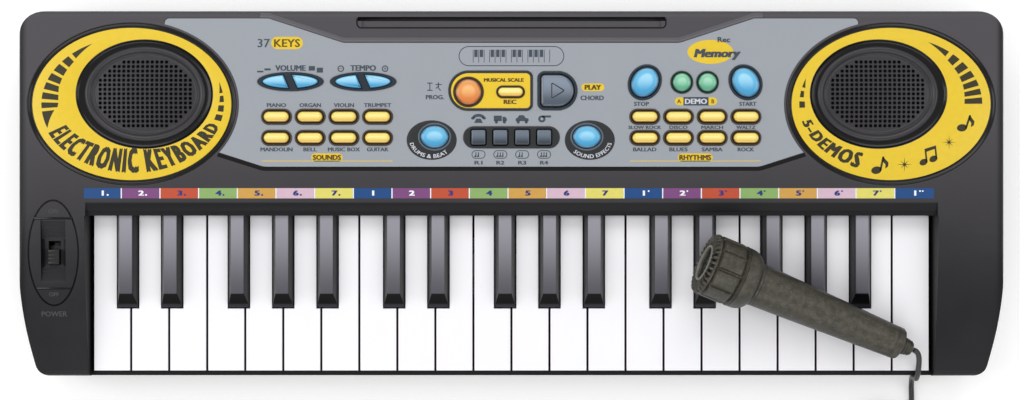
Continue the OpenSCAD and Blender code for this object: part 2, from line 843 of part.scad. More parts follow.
// How far the black key beside white key i cuts into it, on its left and on its right
notch_half_w = black_w / 2 + notch_gap + white_w / 2;
function cut_left(i) = max([0, for (k = black_keys)
    if (k[0] == i - 1) black_x(k) - white_x(i) + notch_half_w]);
function cut_right(i) = max([0, for (k = black_keys)
    if (k[0] == i) white_x(i) - black_x(k) + notch_half_w]);

// Plan of a white key with its cut-outs, drawn in by inset
module white_plan(i, inset) {
    l = -white_w / 2 + inset;
    r = white_w / 2 - inset;
    front = key_front_y + inset;
    back = key_back_y - inset;
    notch_y = black_front_y - notch_gap - inset;
    left_y = cut_left(i) > 0 ? notch_y : back;
    right_y = cut_right(i) > 0 ? notch_y : back;
    inner_l = l + cut_left(i);
    inner_r = r - cut_right(i);
    polygon([[l, front], [r, front], [r, right_y], [inner_r, right_y], [inner_r, back],
             [inner_l, back], [inner_l, left_y], [l, left_y]]);
}

// Arm and round pivot at the back of a key, from x0 to x1
module key_pivot(x0, x1) {
    box(x0, x1, key_back_y - 1, pivot_y, pivot_z + 0.6, pivot_z + 4);
    translate([x0, pivot_y, pivot_z]) rotate([0, 90, 0]) cylinder(r = pivot_r, h = x1 - x0, $fn = 40);
}

module white_key(i) {
    l = -white_w / 2 + cut_left(i);
    r = white_w / 2 - cut_right(i);
    color("#f4f3f0")
    translate([white_x(i), 0, 0]) {
        difference() {
            translate([0, 0, key_bottom_z])
                linear_extrude(white_top_z - key_bottom_z) white_plan(i, 0);
            translate([0, 0, key_bottom_z - 1])
                linear_extrude(white_top_z - key_bottom_z - 1) white_plan(i, key_wall);
        }
        key_pivot(l + 0.4, r - 0.4);
        translate([(l + r) / 2, 0, 0])
            box(-2, 2, plunger_y - 4, plunger_y, plunger_bottom_z, white_top_z - 1);
    }
}

// Black key without its pivot, drawn in by inset
module black_body(inset) {
    w = black_w / 2 - inset;
    t = black_top_w / 2 - inset * 0.6;
    shoulder = white_top_z + 1;
    bottom = key_bottom_z + 1 - inset * 2;
    top = black_top_z - inset;
    front = black_front_y + inset;
    back = key_back_y - inset;
    intersection() {
        rotate([90, 0, 0])
            linear_extrude(200, center = true)
                polygon([[-w, bottom - 1], [w, bottom - 1], [w, shoulder], [t, top], [-t, top],
                         [-w, shoulder]]);
        rotate([90, 0, 90])
            linear_extrude(30, center = true)
                polygon([[front, bottom], [back, bottom], [back, top], [front + black_slope_l + 1, top],
                         [front + 1.6, shoulder], [front, shoulder - 0.6]]);
    }
}

module black_key(k) {
    w = black_w / 2 - 0.4;
    color("#1c1b1e")
    translate([black_x(k), 0, 0]) {
        difference() {
            black_body(0);
            black_body(key_wall);
        }
        key_pivot(-w, w);
        box(-2, 2, plunger_y, plunger_y + 4, plunger_bottom_z, black_top_z - 1);
    }
}

// Microphone, drawn along +Z from the face of the head to the end of the strain relief
module mic_pose() {
    translate(mic_at) rotate([0, 90 + mic_tilt, mic_yaw]) children();
}

// Head: a cup with a ribbed edge, closed by a face plate, and a collar
module microphone_head() {
    r = mic_head_d / 2;
    inner = r - 4;
    color("#4b4a40")
    mic_pose() rotate_extrude($fn = 64)
        polygon([[0, 2.2], [9, 2.2], [10, 0], [r - 1.2, 1.6], [r, 5], [r, 16], [r - 1.2, 19], [r - 1.2, 20],
                 [r - 0.6, 21], [r - 0.6, mic_head_l - 2], [r - 2.6, mic_head_l], [9.6, mic_head_l],
                 [9.6, mic_head_l - 2], [inner, 18], [inner, 5], [0, 4.4]]);
}

// Handle: a tapered tube that ends in a strain relief
module microphone_handle() {
    z1 = mic_head_l + mic_handle_l;
    color("#4b4a40")
    mic_pose() rotate_extrude($fn = 64)
        polygon([[9.4, mic_head_l + eps], [12, mic_head_l + eps], [12, mic_head_l + 3],
                 [9.1, z1 - 3], [8, z1], [5.2, z1], [5.2, z1 + 1], [4, z1 + mic_relief_l], [0, z1 + mic_relief_l],
                 [0, z1 - 2.4], [7, z1 - 2.4]]);
}

// A tube of round section along a list of points
module tube(points, r, sides = 8) {
    n = len(points);
    function direction(i) = unit(points[min(i + 1, n - 1)] - points[max(i - 1, 0)]);
    function ring(i) =
        let (d = direction(i), u = unit(cross(d, [1, 0.3, 0.2])), v = cross(d, u))
        [for (s = [0:sides - 1]) points[i] + r * (cos(360 * s / sides) * u + sin(360 * s / sides) * v)];
    polyhedron(
        points = [for (i = [0:n - 1]) each ring(i)],
        faces = concat(
            [[for (s = [0:sides - 1]) s]],
            [for (i = [0:n - 2], s = [0:sides - 1])
                let (t = (s + 1) % sides)
                    [i * sides + s, (i + 1) * sides + s, (i + 1) * sides + t, i * sides + t]],
            [[for (s = [sides - 1:-1:0]) (n - 1) * sides + s]]));
}

module microphone_cord() color("#2c2c2a") tube(cord_route, cord_d / 2);

// Outer shape of the wound cord
module cord_coil() {
    half = coil_w / 2;
    color("#2c2c2a")
    translate([coil_at[0], coil_at[1], 0])
        rotate_extrude($fn = 72)
            polygon(rounded([[coil_mid_r - half, 0, 1.5], [coil_mid_r + half, 0, 1.5],
                             [coil_mid_r + half, coil_h, 1.5], [coil_mid_r - half, coil_h, 1.5]]));
}

// Jack plug lying on the table: sleeve, grip and contact pin
module microphone_plug() {
    color("#3a3a3c")
    translate(plug_at) rotate([0, -90, 0])
        rotate_extrude($fn = 40)
            polygon([[0, 0], [2.2, 0], [3.4, 7], [4.4, 8], [4.4, 24], [2.9, 25.4], [1.75, 25.4], [1.75, 38],
                     [0.8, 39.6], [0, 39.6]]);
}

top_case();
bottom_case();
control_panel();
speaker_grilles();
speakers();
circuit_boards();
rubber_contacts();
batteries_and_contacts();
screws();
battery_door();
power_switch();
sound_buttons();
rhythm_buttons();
volume_tempo_buttons();
round_blue_buttons();
demo_buttons();
pad_play_buttons();
record_buttons();
microphone_head();
microphone_handle();
microphone_cord();
cord_coil();
microphone_plug();
for (i = [0:white_count - 1]) white_key(i);
for (k = black_keys) black_key(k);
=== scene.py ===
"""Toy electronic keyboard with 37 keys, push buttons, two speakers and a hand microphone.

Lengths are millimetres until a piece is finished, which scales its mesh to metres.
"""

import json
from math import asin, atan2, cos, hypot, pi, radians, sin, sqrt, tan, tau

import bmesh
import bpy
from mathutils import Matrix, Vector


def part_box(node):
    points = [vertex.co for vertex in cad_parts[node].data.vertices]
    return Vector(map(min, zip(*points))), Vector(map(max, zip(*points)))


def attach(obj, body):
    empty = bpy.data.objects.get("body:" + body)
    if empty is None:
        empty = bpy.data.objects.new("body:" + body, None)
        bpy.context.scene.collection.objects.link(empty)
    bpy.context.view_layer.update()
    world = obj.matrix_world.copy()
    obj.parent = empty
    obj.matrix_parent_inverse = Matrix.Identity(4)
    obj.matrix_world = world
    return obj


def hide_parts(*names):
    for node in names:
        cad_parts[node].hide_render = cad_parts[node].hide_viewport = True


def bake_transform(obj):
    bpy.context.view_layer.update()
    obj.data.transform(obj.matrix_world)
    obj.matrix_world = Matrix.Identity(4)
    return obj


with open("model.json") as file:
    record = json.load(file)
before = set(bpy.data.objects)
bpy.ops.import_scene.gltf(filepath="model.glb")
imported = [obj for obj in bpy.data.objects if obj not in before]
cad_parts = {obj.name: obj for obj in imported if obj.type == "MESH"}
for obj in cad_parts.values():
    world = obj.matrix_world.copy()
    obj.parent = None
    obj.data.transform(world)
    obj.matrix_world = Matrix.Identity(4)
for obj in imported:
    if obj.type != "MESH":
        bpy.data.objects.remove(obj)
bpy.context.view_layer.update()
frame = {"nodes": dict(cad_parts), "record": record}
scene = bpy.context.scene
scene.view_settings.view_transform = "Standard"
NODES = frame["nodes"]
MM = 0.001


def span(node):
    """Lowest and highest corner of a CAD node, in millimetres."""
    low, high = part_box(node)
    return low / MM, high / MM


def named(prefix):
    """The CAD nodes whose names start so, from left to right."""
    return sorted((n for n in NODES if n.startswith(prefix)), key=lambda n: span(n)[0].x)


# ---------------------------------------------------------------- main measures
DECK_Z = span("control_panel")[1].z
CAP_TOP_Z = span("sound_buttons")[1].z
WHITE_KEYS = named("white_key")
BLACK_KEYS = named("black_key")
CHEEK_DROP = 8.0
SHELF_Y = -4.1
HALF_DEPTH = 100.75
SPEAKER = Vector((201.2, 55.0))
RING = Vector((208.4, 49.4))
RING_HOLE = Vector((201.5, 54.8))
MIC_AT = Vector((104.0, -37.0, 60.5))
MIC_YAW, MIC_TILT = -22.6, 8.0
MIC_R = 17.2
MIC_HEAD_L, MIC_HANDLE_L, MIC_RELIEF_L = 30.0, 90.0, 7.0


def top_z(y):
    """Height of the deck and, in front of it, of the arm rests."""
    return DECK_Z - CHEEK_DROP * (max(0.0, SHELF_Y - y) / (HALF_DEPTH + SHELF_Y)) ** 2


# ---------------------------------------------------------------- camera
VIEW_WIDTH = 560.0
CAMERA_HEIGHT = 1050.0
VIEW_CENTRE = Vector((-0.8, -3.3))


def make_camera():
    data = bpy.data.cameras.new("camera")
    data.sensor_width = 36
    data.lens = data.sensor_width * CAMERA_HEIGHT / VIEW_WIDTH
    camera = bpy.data.objects.new("camera", data)
    camera.location = Vector((*VIEW_CENTRE, DECK_Z + CAMERA_HEIGHT)) * MM
    scene.collection.objects.link(camera)
    scene.camera = camera


make_camera()


# ---------------------------------------------------------------- looks
def linear(code):
    """A colour written as six hexadecimal digits, as the shaders' linear values."""
    parts = [int(code[i:i + 2], 16) / 255 for i in (0, 2, 4)]
    return tuple(p / 12.92 if p <= 0.04045 else ((p + 0.055) / 1.055) ** 2.4 for p in parts)


class Value:
    """An output of a look's nodes. Arithmetic on it adds Math nodes."""

    def __init__(self, look, socket):
        self.look, self.socket = look, socket

    def math(self, operation, *values):
        return self.look.node("Math", values, operation=operation)

    def __add__(self, other): return self.math("ADD", self, other)
    def __radd__(self, other): return self.math("ADD", other, self)
    def __sub__(self, other): return self.math("SUBTRACT", self, other)
    def __rsub__(self, other): return self.math("SUBTRACT", other, self)
    def __mul__(self, other): return self.math("MULTIPLY", self, other)
    def __rmul__(self, other): return self.math("MULTIPLY", other, self)
    def __pow__(self, other): return self.math("POWER", self, other)
    def __abs__(self): return self.math("ABSOLUTE", self)

    def step(self, low, high):
        """0 below low, 1 above high, smooth between."""
        return self.look.node("MapRange", (self, low, high, 0.0, 1.0), interpolation_type="SMOOTHSTEP")


class Look:
    """A material. Its nodes are added one by one and joined to the Principled shader."""

    def __init__(self, name, **constants):
        self.material = bpy.data.materials.new(name)
        self.material.use_nodes = True
        self.tree = self.material.node_tree
        self.shader = self.tree.nodes["Principled BSDF"]
        for key, value in constants.items():
            self.put(value, self.shader.inputs[key.replace("_", " ")])
        self.object = self.node("TexCoord", out="Object")

    def put(self, value, socket):
        if isinstance(value, Value):
            self.tree.links.new(value.socket, socket)
        elif isinstance(value, tuple) and socket.type == "RGBA":
            socket.default_value = (*value, 1)
        else:
            socket.default_value = value

    def node(self, kind, sockets=(), out=0, **settings):
        """Any node: its inputs by place or by name, the output wanted, and its settings."""
        node = self.tree.nodes.new("ShaderNode" + kind)
        for key, value in settings.items():
            setattr(node, key, value)
        for key, value in sockets.items() if isinstance(sockets, dict) else enumerate(sockets):
            self.put(value, node.inputs[key])
        return Value(self, node.outputs[out])

    def set(self, **values):
        for key, value in values.items():
            self.put(value, self.shader.inputs[key.replace("_", " ")])
        return self

    def axis(self, i):
        """An object coordinate in millimetres: 0 for x, 1 for y, 2 for z."""
        return self.node("SeparateXYZ", (self.object,), out=i) * 1000.0

    def noise(self, size, detail=2.0, stretch=(1, 1, 1)):
        """Noise with blobs about size millimetres wide."""
        at = self.node("Mapping", {"Vector": self.object, "Scale": tuple(s / (size * MM) for s in stretch)})
        return self.node("TexNoise", {"Vector": at, "Scale": 1.0, "Detail": detail})

    def facing(self, axis):
        """How far the surface faces along an axis: 0 for x, 1 for y, 2 for z."""
        return self.node("SeparateXYZ", (self.node("NewGeometry", out=1),), out=axis)

    def mix(self, factor, a, b):
        return self.node("Mix", {0: factor, 6: a, 7: b}, out=2, data_type="RGBA", clamp_factor=True)

    def bump(self, height, distance):
        """Relief: height from 0 to 1, distance in millimetres."""
        return self.set(Normal=self.node("Bump", {"Height": height, "Distance": distance * MM,
                                                  "Strength": 1.0}))


def scaled(colour, factor):
    return tuple(min(1.0, c * factor) for c in colour)


def plastic(name, code, rough, grain=0.4, relief=0.02, coat=0.0, mottle=0.06, shine=0.5):
    """Moulded plastic: a slight mottle, uneven gloss and a fine moulded grain."""
    colour = linear(code)
    look = Look(name, Coat_Roughness=0.12, IOR=1.46, Specular_IOR_Level=shine, Coat_Weight=coat)
    cloud = look.noise(14.0, 3.0)
    look.set(
        Base_Color=look.mix(cloud, scaled(colour, 1 - mottle), scaled(colour, 1 + mottle)),
        Roughness=rough + 0.12 * (look.noise(5.0, 4.0) - 0.5))
    return look.bump(look.noise(grain, 2.0), relief)


def case_look():
    """Dark satin plastic with a fine grain; painted shade makes it darker towards the front and lighter
    towards the back.
    """
    look = Look("case_plastic", IOR=1.46, Specular_IOR_Level=0.25)
    x, y, up = look.axis(0), look.axis(1), look.facing(2)
    # painted shade: the deck darkens from the back towards the front
    back = look.mix(y.step(-70.0, 70.0), linear("161518"), linear("4b494d"))
    deck = look.mix(look.noise(26.0, 3.0) * 0.12, back, linear("5a585b"))
    # painted shade: the slope and the ledge inside the key opening, the walls and the rounded edges are
    # painted almost black
    well = abs(x).step(234.6, 233.6) * y.step(-4.0, -5.4)
    edge = up.math("MAXIMUM", up.step(0.86, 0.35), abs(x).step(265.6, 269.2))
    look.set(
        Base_Color=look.mix(edge * 0.92, look.mix(well, deck, linear("141316")), linear("121113")),
        Roughness=0.46 + 0.1 * (look.noise(7.0, 4.0) - 0.5))
    return look.bump(look.noise(0.5, 2.0), 0.02)


def cap_look(name, edge, side, top, low):
    """Gloss cap laid out by its UV: painted shade on its sides, its coloured crown, a painted highlight on
    top, and painted shade, darker and warmer, at the lower edge.
    """
    look = Look(name, Coat_Weight=0.5, Coat_Roughness=0.06, IOR=1.48)
    uv = look.node("UVMap", out=0, uv_map="cap")
    crown, up = (look.node("SeparateXYZ", (uv,), out=i) for i in (0, 1))
    # painted shade: darker and warmer towards the lower edge
    body = look.mix(up.step(0.1, 0.75), linear(low), linear(side))
    # painted highlight on the top of the crown
    pale = look.mix(crown.step(0.55, 1.0) * up.step(0.15, 0.8), body, linear(top))
    # painted shade on the cap's sides
    look.set(
        Base_Color=look.mix(crown.step(0.02, 0.42), linear(edge), pale),
        Roughness=0.22 + 0.04 * (look.noise(2.5, 3.0) - 0.5))
    return look.bump(look.noise(1.2, 2.0), 0.01)


def white_key_look():
    """Gloss white, shaded at the back end and on the sides that face the next key."""
    look = Look("key_white", Coat_Weight=0.35, Coat_Roughness=0.1, IOR=1.49)
    y, z = look.axis(1), look.axis(2)
    front = look.mix(look.noise(30.0, 2.0) * 0.5, linear("f3f2f6"), linear("fbfafc"))
    top = look.mix(y.step(-14.0, -9.5), front, linear("9b98a2"))
    gap = abs(look.facing(0)).step(0.45, 0.85) * z.step(34.8, 34.2)
    look.set(
        Base_Color=look.mix(gap, top, linear("242326")),
        Roughness=0.3 + 0.1 * (look.noise(6.0, 3.0) - 0.5))
    return look.bump(look.noise(1.5, 2.0), 0.006)


def black_key_look():
    """Black plastic whose flat top carries a painted reflection, pale grey and brightest towards the back."""
    look = Look("key_black", IOR=1.48, Specular_IOR_Level=0.16)
    y, z = look.axis(1), look.axis(2)
    # painted reflection: the flat top is painted pale grey, brighter towards the back
    top = look.mix(y.step(-58.0, -14.0), linear("55535a"), linear("929199"))
    side = look.mix(look.noise(5.0, 3.0), linear("060607"), linear("0c0b0d"))
    foot = look.mix(z.step(36.8, 36.0), side, linear("2f2e33"))
    look.set(
        Base_Color=look.mix(z.step(41.3, 41.9), foot, top),
        Roughness=0.34 + 0.12 * (look.noise(4.0, 3.0) - 0.5))
    return look.bump(look.noise(0.8, 2.0), 0.008)


def microphone_look():
    """Olive plastic, mottled and worn, with pale specks; painted shade makes it darker where it doesn't face
    up.
    """
    look = Look("microphone_plastic", IOR=1.46, Specular_IOR_Level=0.4)
    cloud = look.noise(3.2, 6.0).step(0.2, 0.8)
    specks = look.noise(0.8, 3.0).step(0.55, 0.8)
    worn = look.mix(cloud, linear("343229"), linear("4e4b40"))
    # painted shade: darker where the surface doesn't face up
    shaded_mottle = look.mix(look.facing(2).step(0.25, 0.95), linear("23221d"), worn)
    look.set(
        Base_Color=look.mix(specks * (0.08 + 0.4 * cloud), shaded_mottle, linear("8c8a7e")),
        Roughness=0.4 + 0.25 * (look.noise(2.5, 4.0) - 0.5))
    return look.bump(look.noise(0.7, 4.0), 0.09)


def print_look(name, code, rough=0.45):
    """Screen-printed ink with slightly uneven cover."""
    look = Look(name, IOR=1.45)
    colour = linear(code)
    cover = look.noise(3.0, 4.0)
    look.set(
        Base_Color=look.mix(cover, scaled(colour, 0.93), scaled(colour, 1.06)),
        Roughness=rough + 0.1 * (look.noise(1.2, 3.0) - 0.5))
    return look.bump(look.noise(0.5, 2.0), 0.004)


def rubber_look(name, code):
    look = Look(name, IOR=1.5)
    colour = linear(code)
    look.set(
        Base_Color=look.mix(look.noise(6.0, 4.0), scaled(colour, 0.7), scaled(colour, 1.5)),
        Roughness=0.42 + 0.14 * (look.noise(3.0, 3.0) - 0.5))
    return look.bump(look.noise(0.4, 3.0), 0.02)


def metal_look(name, code, rough, stretch=(1, 1, 1)):
    look = Look(name, Metallic=1.0)
    colour = linear(code)
    look.set(
        Base_Color=look.mix(look.noise(3.0, 3.0), scaled(colour, 0.8), scaled(colour, 1.15)),
        Roughness=rough + 0.2 * (look.noise(1.0, 4.0, stretch) - 0.5))
    return look.bump(look.noise(0.5, 3.0, stretch), 0.01)


def board_look():
    """Green solder mask with copper tracks under it; the sockets at the back are black."""
    look = Look("board_green", Coat_Weight=0.3, Coat_Roughness=0.2)
    y = look.axis(1)
    phase = y * 0.5 + look.noise(22.0, 1.0) * 6.0
    tracks = abs(phase.math("FRACT", phase) - 0.5)
    mask = look.mix(tracks.step(0.28, 0.34), linear("1d5a38"), linear("3d8a58"))
    look.set(
        Base_Color=look.mix(y.step(80.0, 80.5), mask, linear("19191b")),
        Roughness=0.35 + 0.1 * (look.noise(2.0, 3.0) - 0.5))
    return look.bump(tracks.step(0.28, 0.34), 0.03)


def speaker_look():
    """Ribbed paper cone on a painted basket."""
    look = Look("speaker_metal", IOR=1.45)
    x, y = look.axis(0), look.axis(1)
    ribs = ((abs(x) - SPEAKER.x) ** 2.0 + (y - SPEAKER.y) ** 2.0) ** 0.5
    wave = ribs.math("SINE", ribs * 3.0)
    look.set(
        Base_Color=look.mix(look.noise(2.0, 4.0), linear("3a3a3d"), linear("55565a")),
        Roughness=0.6 + 0.15 * (look.noise(1.0, 3.0) - 0.5))
    return look.bump(wave, 0.15)


# ---------------------------------------------------------------- making meshes
def placed(name, mesh):
    obj = bpy.data.objects.new(name, mesh)
    scene.collection.objects.link(obj)
    return obj


def finished(name, bm, look=None):
    """An object from a mesh drawn in millimetres, smoothly shaded."""
    bmesh.ops.scale(bm, vec=(MM, MM, MM), verts=bm.verts)
    bmesh.ops.recalc_face_normals(bm, faces=bm.faces)
    mesh = bpy.data.meshes.new(name)
    bm.to_mesh(mesh)
    bm.free()
    if look:
        mesh.materials.append(look.material)
    mesh.shade_smooth()
    return placed(name, mesh)


def flatten(obj):
    """Keeps large flat faces evenly shaded beside rounded edges."""
    obj.modifiers.new("flat_faces", "WEIGHTED_NORMAL").keep_sharp = True


def piece(name, bm, look, body="case", slot="case_plastic", nodes=(), smooth=35, weighted=False):
    """Finishes a mesh drawn in millimetres: look, shading, and the body it rides on."""
    obj = finished(name, bm, look)
    obj.data.set_sharp_from_angle(angle=radians(smooth))
    if weighted:
        flatten(obj)
    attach(obj, body)
    if nodes:
        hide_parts(*nodes)
    return obj


def node_mesh(node):
    """A CAD node's mesh in millimetres, with its vertices joined and its flat faces whole."""
    bm = bmesh.new()
    bm.from_mesh(NODES[node].data)
    bmesh.ops.scale(bm, vec=(1 / MM,) * 3, verts=bm.verts)
    bmesh.ops.remove_doubles(bm, verts=bm.verts, dist=0.002)
    bmesh.ops.dissolve_limit(bm, angle_limit=radians(0.6), verts=bm.verts, edges=bm.edges)
    return bm


def soften(node, width, low=-1000.0, angle=35.0, segments=2):
    """A CAD node's mesh with the sharp edges above low rounded off."""
    bm = node_mesh(node)
    sharp = [e for e in bm.edges if len(e.link_faces) == 2 and e.is_convex
             and e.calc_face_angle(0) > radians(angle) and min(v.co.z for v in e.verts) > low]
    bmesh.ops.bevel(bm, geom=sharp, offset=width, segments=segments, profile=0.5,
                    affect="EDGES", clamp_overlap=True)
    return bm


def add(target, bm, matrix=None):
    """Moves everything in bm into target."""
    if matrix is not None:
        bmesh.ops.transform(bm, matrix=matrix, verts=bm.verts)
    mesh = bpy.data.meshes.new("part")
    bm.to_mesh(mesh)
    bm.free()
    target.from_mesh(mesh)
    bpy.data.meshes.remove(mesh)
    return target


def join(parts):
    whole = bmesh.new()
    for bm in parts:
        add(whole, bm)
    return whole


# Closed outlines are lists of points (x, y), counter-clockwise.
def ellipse(at, a, b, count=96, turn=0.0):
    points = [(a * cos(tau * i / count), b * sin(tau * i / count)) for i in range(count)]
    c, s = cos(radians(turn)), sin(radians(turn))
    return [(at[0] + x * c - y * s, at[1] + x * s + y * c) for x, y in points]


def arc(at, a, b, start, end, count=32):
    """Points along an ellipse from the angle start to end, in degrees."""
    return [(at[0] + a * cos(radians(start + (end - start) * i / count)),
             at[1] + b * sin(radians(start + (end - start) * i / count))) for i in range(count + 1)]


def capsule(at, w, d, count=14):
    x, y, r = at[0], at[1], d / 2
    return arc((x + w / 2 - r, y), r, r, -90, 90, count) + arc((x - w / 2 + r, y), r, r, 90, 270, count)


def rounded(corners, steps=8):
    """An outline from corners (x, y, radius)."""
    points = []
    for i, (x, y, r) in enumerate(corners):
        here = Vector((x, y))
        u = (Vector(corners[i - 1][:2]) - here).normalized()
        v = (Vector(corners[(i + 1) % len(corners)][:2]) - here).normalized()
        if r == 0:
            points.append((x, y))
            continue
        half = u.angle(v) / 2
        middle = here + (u + v).normalized() * r / sin(half)
        first = here + u * r / tan(half) - middle
        turn = pi - 2 * half
        if u.x * v.y - u.y * v.x > 0:
            turn = -turn
        for k in range(steps + 1):
            p = middle + Matrix.Rotation(turn * k / steps, 2) @ first
            points.append((p.x, p.y))
    return points


def offset(points, distance, closed=True):
    """The line moved outwards (to the right of its direction) by distance."""
    count = len(points)
    moved = []
    for i, (x, y) in enumerate(points):
        before = points[i - 1] if closed or i else points[i]
        after = points[(i + 1) % count] if closed or i < count - 1 else points[i]
        normals = []
        for p, q in ((before, (x, y)), ((x, y), after)):
            length = hypot(q[0] - p[0], q[1] - p[1])
            if length > 1e-6:
                normals.append(Vector(((q[1] - p[1]) / length, (p[0] - q[0]) / length)))
        n = sum(normals, Vector((0, 0)))
        if len(normals) == 2:
            n = n / max(0.35, 1 + normals[0].dot(normals[1]))
        moved.append((x + n.x * distance, y + n.y * distance))
    return moved


def loft(rings, closed=True, around=False, ends=(False, False)):
    """The first ring of points (x, y, z) drawn out to each of the next; around comes back to the first."""
    bm = bmesh.new()
    order = bm.verts.layers.int.new("order")
    verts = [bm.verts.new(p) for p in rings[0]]
    for i, v in enumerate(verts):
        v[order] = i
    edges = [bm.edges.new(pair) for pair in zip(verts, verts[1:] + verts[:1] if closed else verts[1:])]
    if ends[0]:
        bmesh.ops.contextual_create(bm, geom=edges)
    for ring in rings[1:] + (rings[:1] if around else []):
        drawn = bmesh.ops.extrude_edge_only(bm, edges=edges)["geom"]
        edges = [g for g in drawn if isinstance(g, bmesh.types.BMEdge)]
        for v in drawn:
            if isinstance(v, bmesh.types.BMVert):
                v.co = ring[v[order]]
    if ends[1]:
        bmesh.ops.contextual_create(bm, geom=edges)
    if around:
        bmesh.ops.remove_doubles(bm, verts=bm.verts, dist=0.0001)
    bm.verts.layers.int.remove(order)
    return bm


def sweep(outline, profile, closed=True, around=True, ends=(False, False), lift=None):
    """A rim that follows an outline: profile gives (distance outwards, height)."""
    rings = []
    for out, z in profile:
        rings.append([(x, y, z + (lift(x, y) if lift else 0.0)) for x, y in offset(outline, out, closed)])
    return loft(rings, closed, around, ends)


def curve_mesh(curve):
    """The filled shape of a text or curve, as a mesh."""
    holder = placed("shape", curve)
    graph = bpy.context.evaluated_depsgraph_get()
    mesh = bpy.data.meshes.new_from_object(holder.evaluated_get(graph))
    bm = bmesh.new()
    bm.from_mesh(mesh)
    bpy.data.objects.remove(holder)
    bpy.data.curves.remove(curve)
    bpy.data.meshes.remove(mesh)
    bmesh.ops.remove_doubles(bm, verts=bm.verts, dist=0.0005)
    return bm


def plate(loops, z0, z1, bevel=0.0):
    """A flat solid from z0 to z1 between closed outlines; an outline inside another is a hole."""
    curve = bpy.data.curves.new("plan", "CURVE")
    curve.dimensions = "2D"
    curve.fill_mode = "BOTH"
    curve.extrude = (z1 - z0) / 2 - bevel
    curve.bevel_depth = bevel
    curve.bevel_resolution = 2
    curve.offset = -bevel
    for loop in loops:
        spline = curve.splines.new("POLY")
        spline.points.add(len(loop) - 1)
        for point, (x, y) in zip(spline.points, loop):
            point.co = (x, y, 0, 1)
        spline.use_cyclic_u = True
    bm = curve_mesh(curve)
    bmesh.ops.translate(bm, vec=(0, 0, (z0 + z1) / 2), verts=bm.verts)
    return bm


INK = 0.06
CAPITAL_SHARE = 0.7
# copies of the letters, sideways and up or down, that thicken their strokes
BOLD_COPIES = ((-1, -0.25), (-1, 0.25), (-0.5, 0), (0.5, 0), (1, -0.25), (1, 0.25))
COPY_LIFT = 0.003


def flat(*loops, z=None):
    """A printed patch on the panel."""
    z = DECK_Z if z is None else z
    return plate(loops, z - INK, z + INK)


def words(text, at, height, width=None, bold=0.0, z=None, lean=0.0, wide=1.0, spacing=1.0):
    """Printed words: capital height, the whole width or a stretch, and how much bolder."""
    z = DECK_Z if z is None else z
    curve = bpy.data.curves.new("words", "FONT")
    curve.body = text
    curve.size = height / CAPITAL_SHARE
    curve.space_character = spacing
    curve.extrude = INK
    curve.resolution_u = 2
    curve.shear = lean
    letters = curve_mesh(curve)
    xs = [v.co.x for v in letters.verts]
    low, high = min(xs), max(xs)
    stretch = width / (high - low) if width else wide
    for v in letters.verts:
        v.co.x = at[0] + (v.co.x - (low + high) / 2) * stretch
        v.co.y += at[1] - height / 2
        v.co.z += z
    if not bold:
        return letters
    thick = bmesh.new()
    for k, (x, y) in enumerate(BOLD_COPIES):
        add(thick, letters.copy(), Matrix.Translation((bold * x, bold * y, COPY_LIFT * k)))
    add(thick, letters)
    return thick


def ring_words(text, height, bold, place, z, spacing=1.0):
    """Words bent along a band: place(share of the length, share of the height) gives a point."""
    bm = words(text, (0, 0), height, None, bold, z, spacing=spacing)
    long_edges = [e for e in bm.edges if e.calc_length() > 1.2]
    bmesh.ops.subdivide_edges(bm, edges=long_edges, cuts=2)
    xs, ys = [v.co.x for v in bm.verts], [v.co.y for v in bm.verts]
    for v in bm.verts:
        x, y = place((v.co.x - min(xs)) / (max(xs) - min(xs)), (v.co.y - min(ys)) / (max(ys) - min(ys)))
        v.co.x, v.co.y = x, y
    return bm


def lathe(profile, count=96, wave=None):
    """A profile (radius, z) spun about Z; wave(angle, radius, z) then moves each point."""
    bm = bmesh.new()
    verts = [bm.verts.new((r, 0, z)) for r, z in profile]
    edges = [bm.edges.new(pair) for pair in zip(verts, verts[1:])]
    bmesh.ops.spin(bm, geom=verts + edges, cent=(0, 0, 0), axis=(0, 0, 1), angle=tau, steps=count,
                   use_merge=True)
    bmesh.ops.remove_doubles(bm, verts=bm.verts, dist=0.0001)
    if wave:
        for v in bm.verts:
            angle = atan2(v.co.y, v.co.x)
            r, z = wave(angle, hypot(v.co.x, v.co.y), v.co.z)
            v.co = (r * cos(angle), r * sin(angle), z)
    return bm


def cylinder(start, end, r, count=12):
    """A rod between two points."""
    start, end = Vector(start), Vector(end)
    bm = bmesh.new()
    bmesh.ops.create_cone(bm, cap_ends=True, segments=count, radius1=r, radius2=r, depth=(end - start).length)
    turn = (end - start).to_track_quat("Z", "Y").to_matrix().to_4x4()
    bmesh.ops.transform(bm, matrix=Matrix.Translation((start + end) / 2) @ turn, verts=bm.verts)
    return bm


def block(x0, x1, y0, y1, z0, z1, bevel=0.2):
    bm = bmesh.new()
    bmesh.ops.create_cube(bm, size=1)
    bmesh.ops.scale(bm, vec=(x1 - x0, y1 - y0, z1 - z0), verts=bm.verts)
    bmesh.ops.translate(bm, vec=((x0 + x1) / 2, (y0 + y1) / 2, (z0 + z1) / 2), verts=bm.verts)
    if bevel:
        bmesh.ops.bevel(bm, geom=bm.edges[:], offset=bevel, segments=2, profile=0.5, affect="EDGES")
    return bm


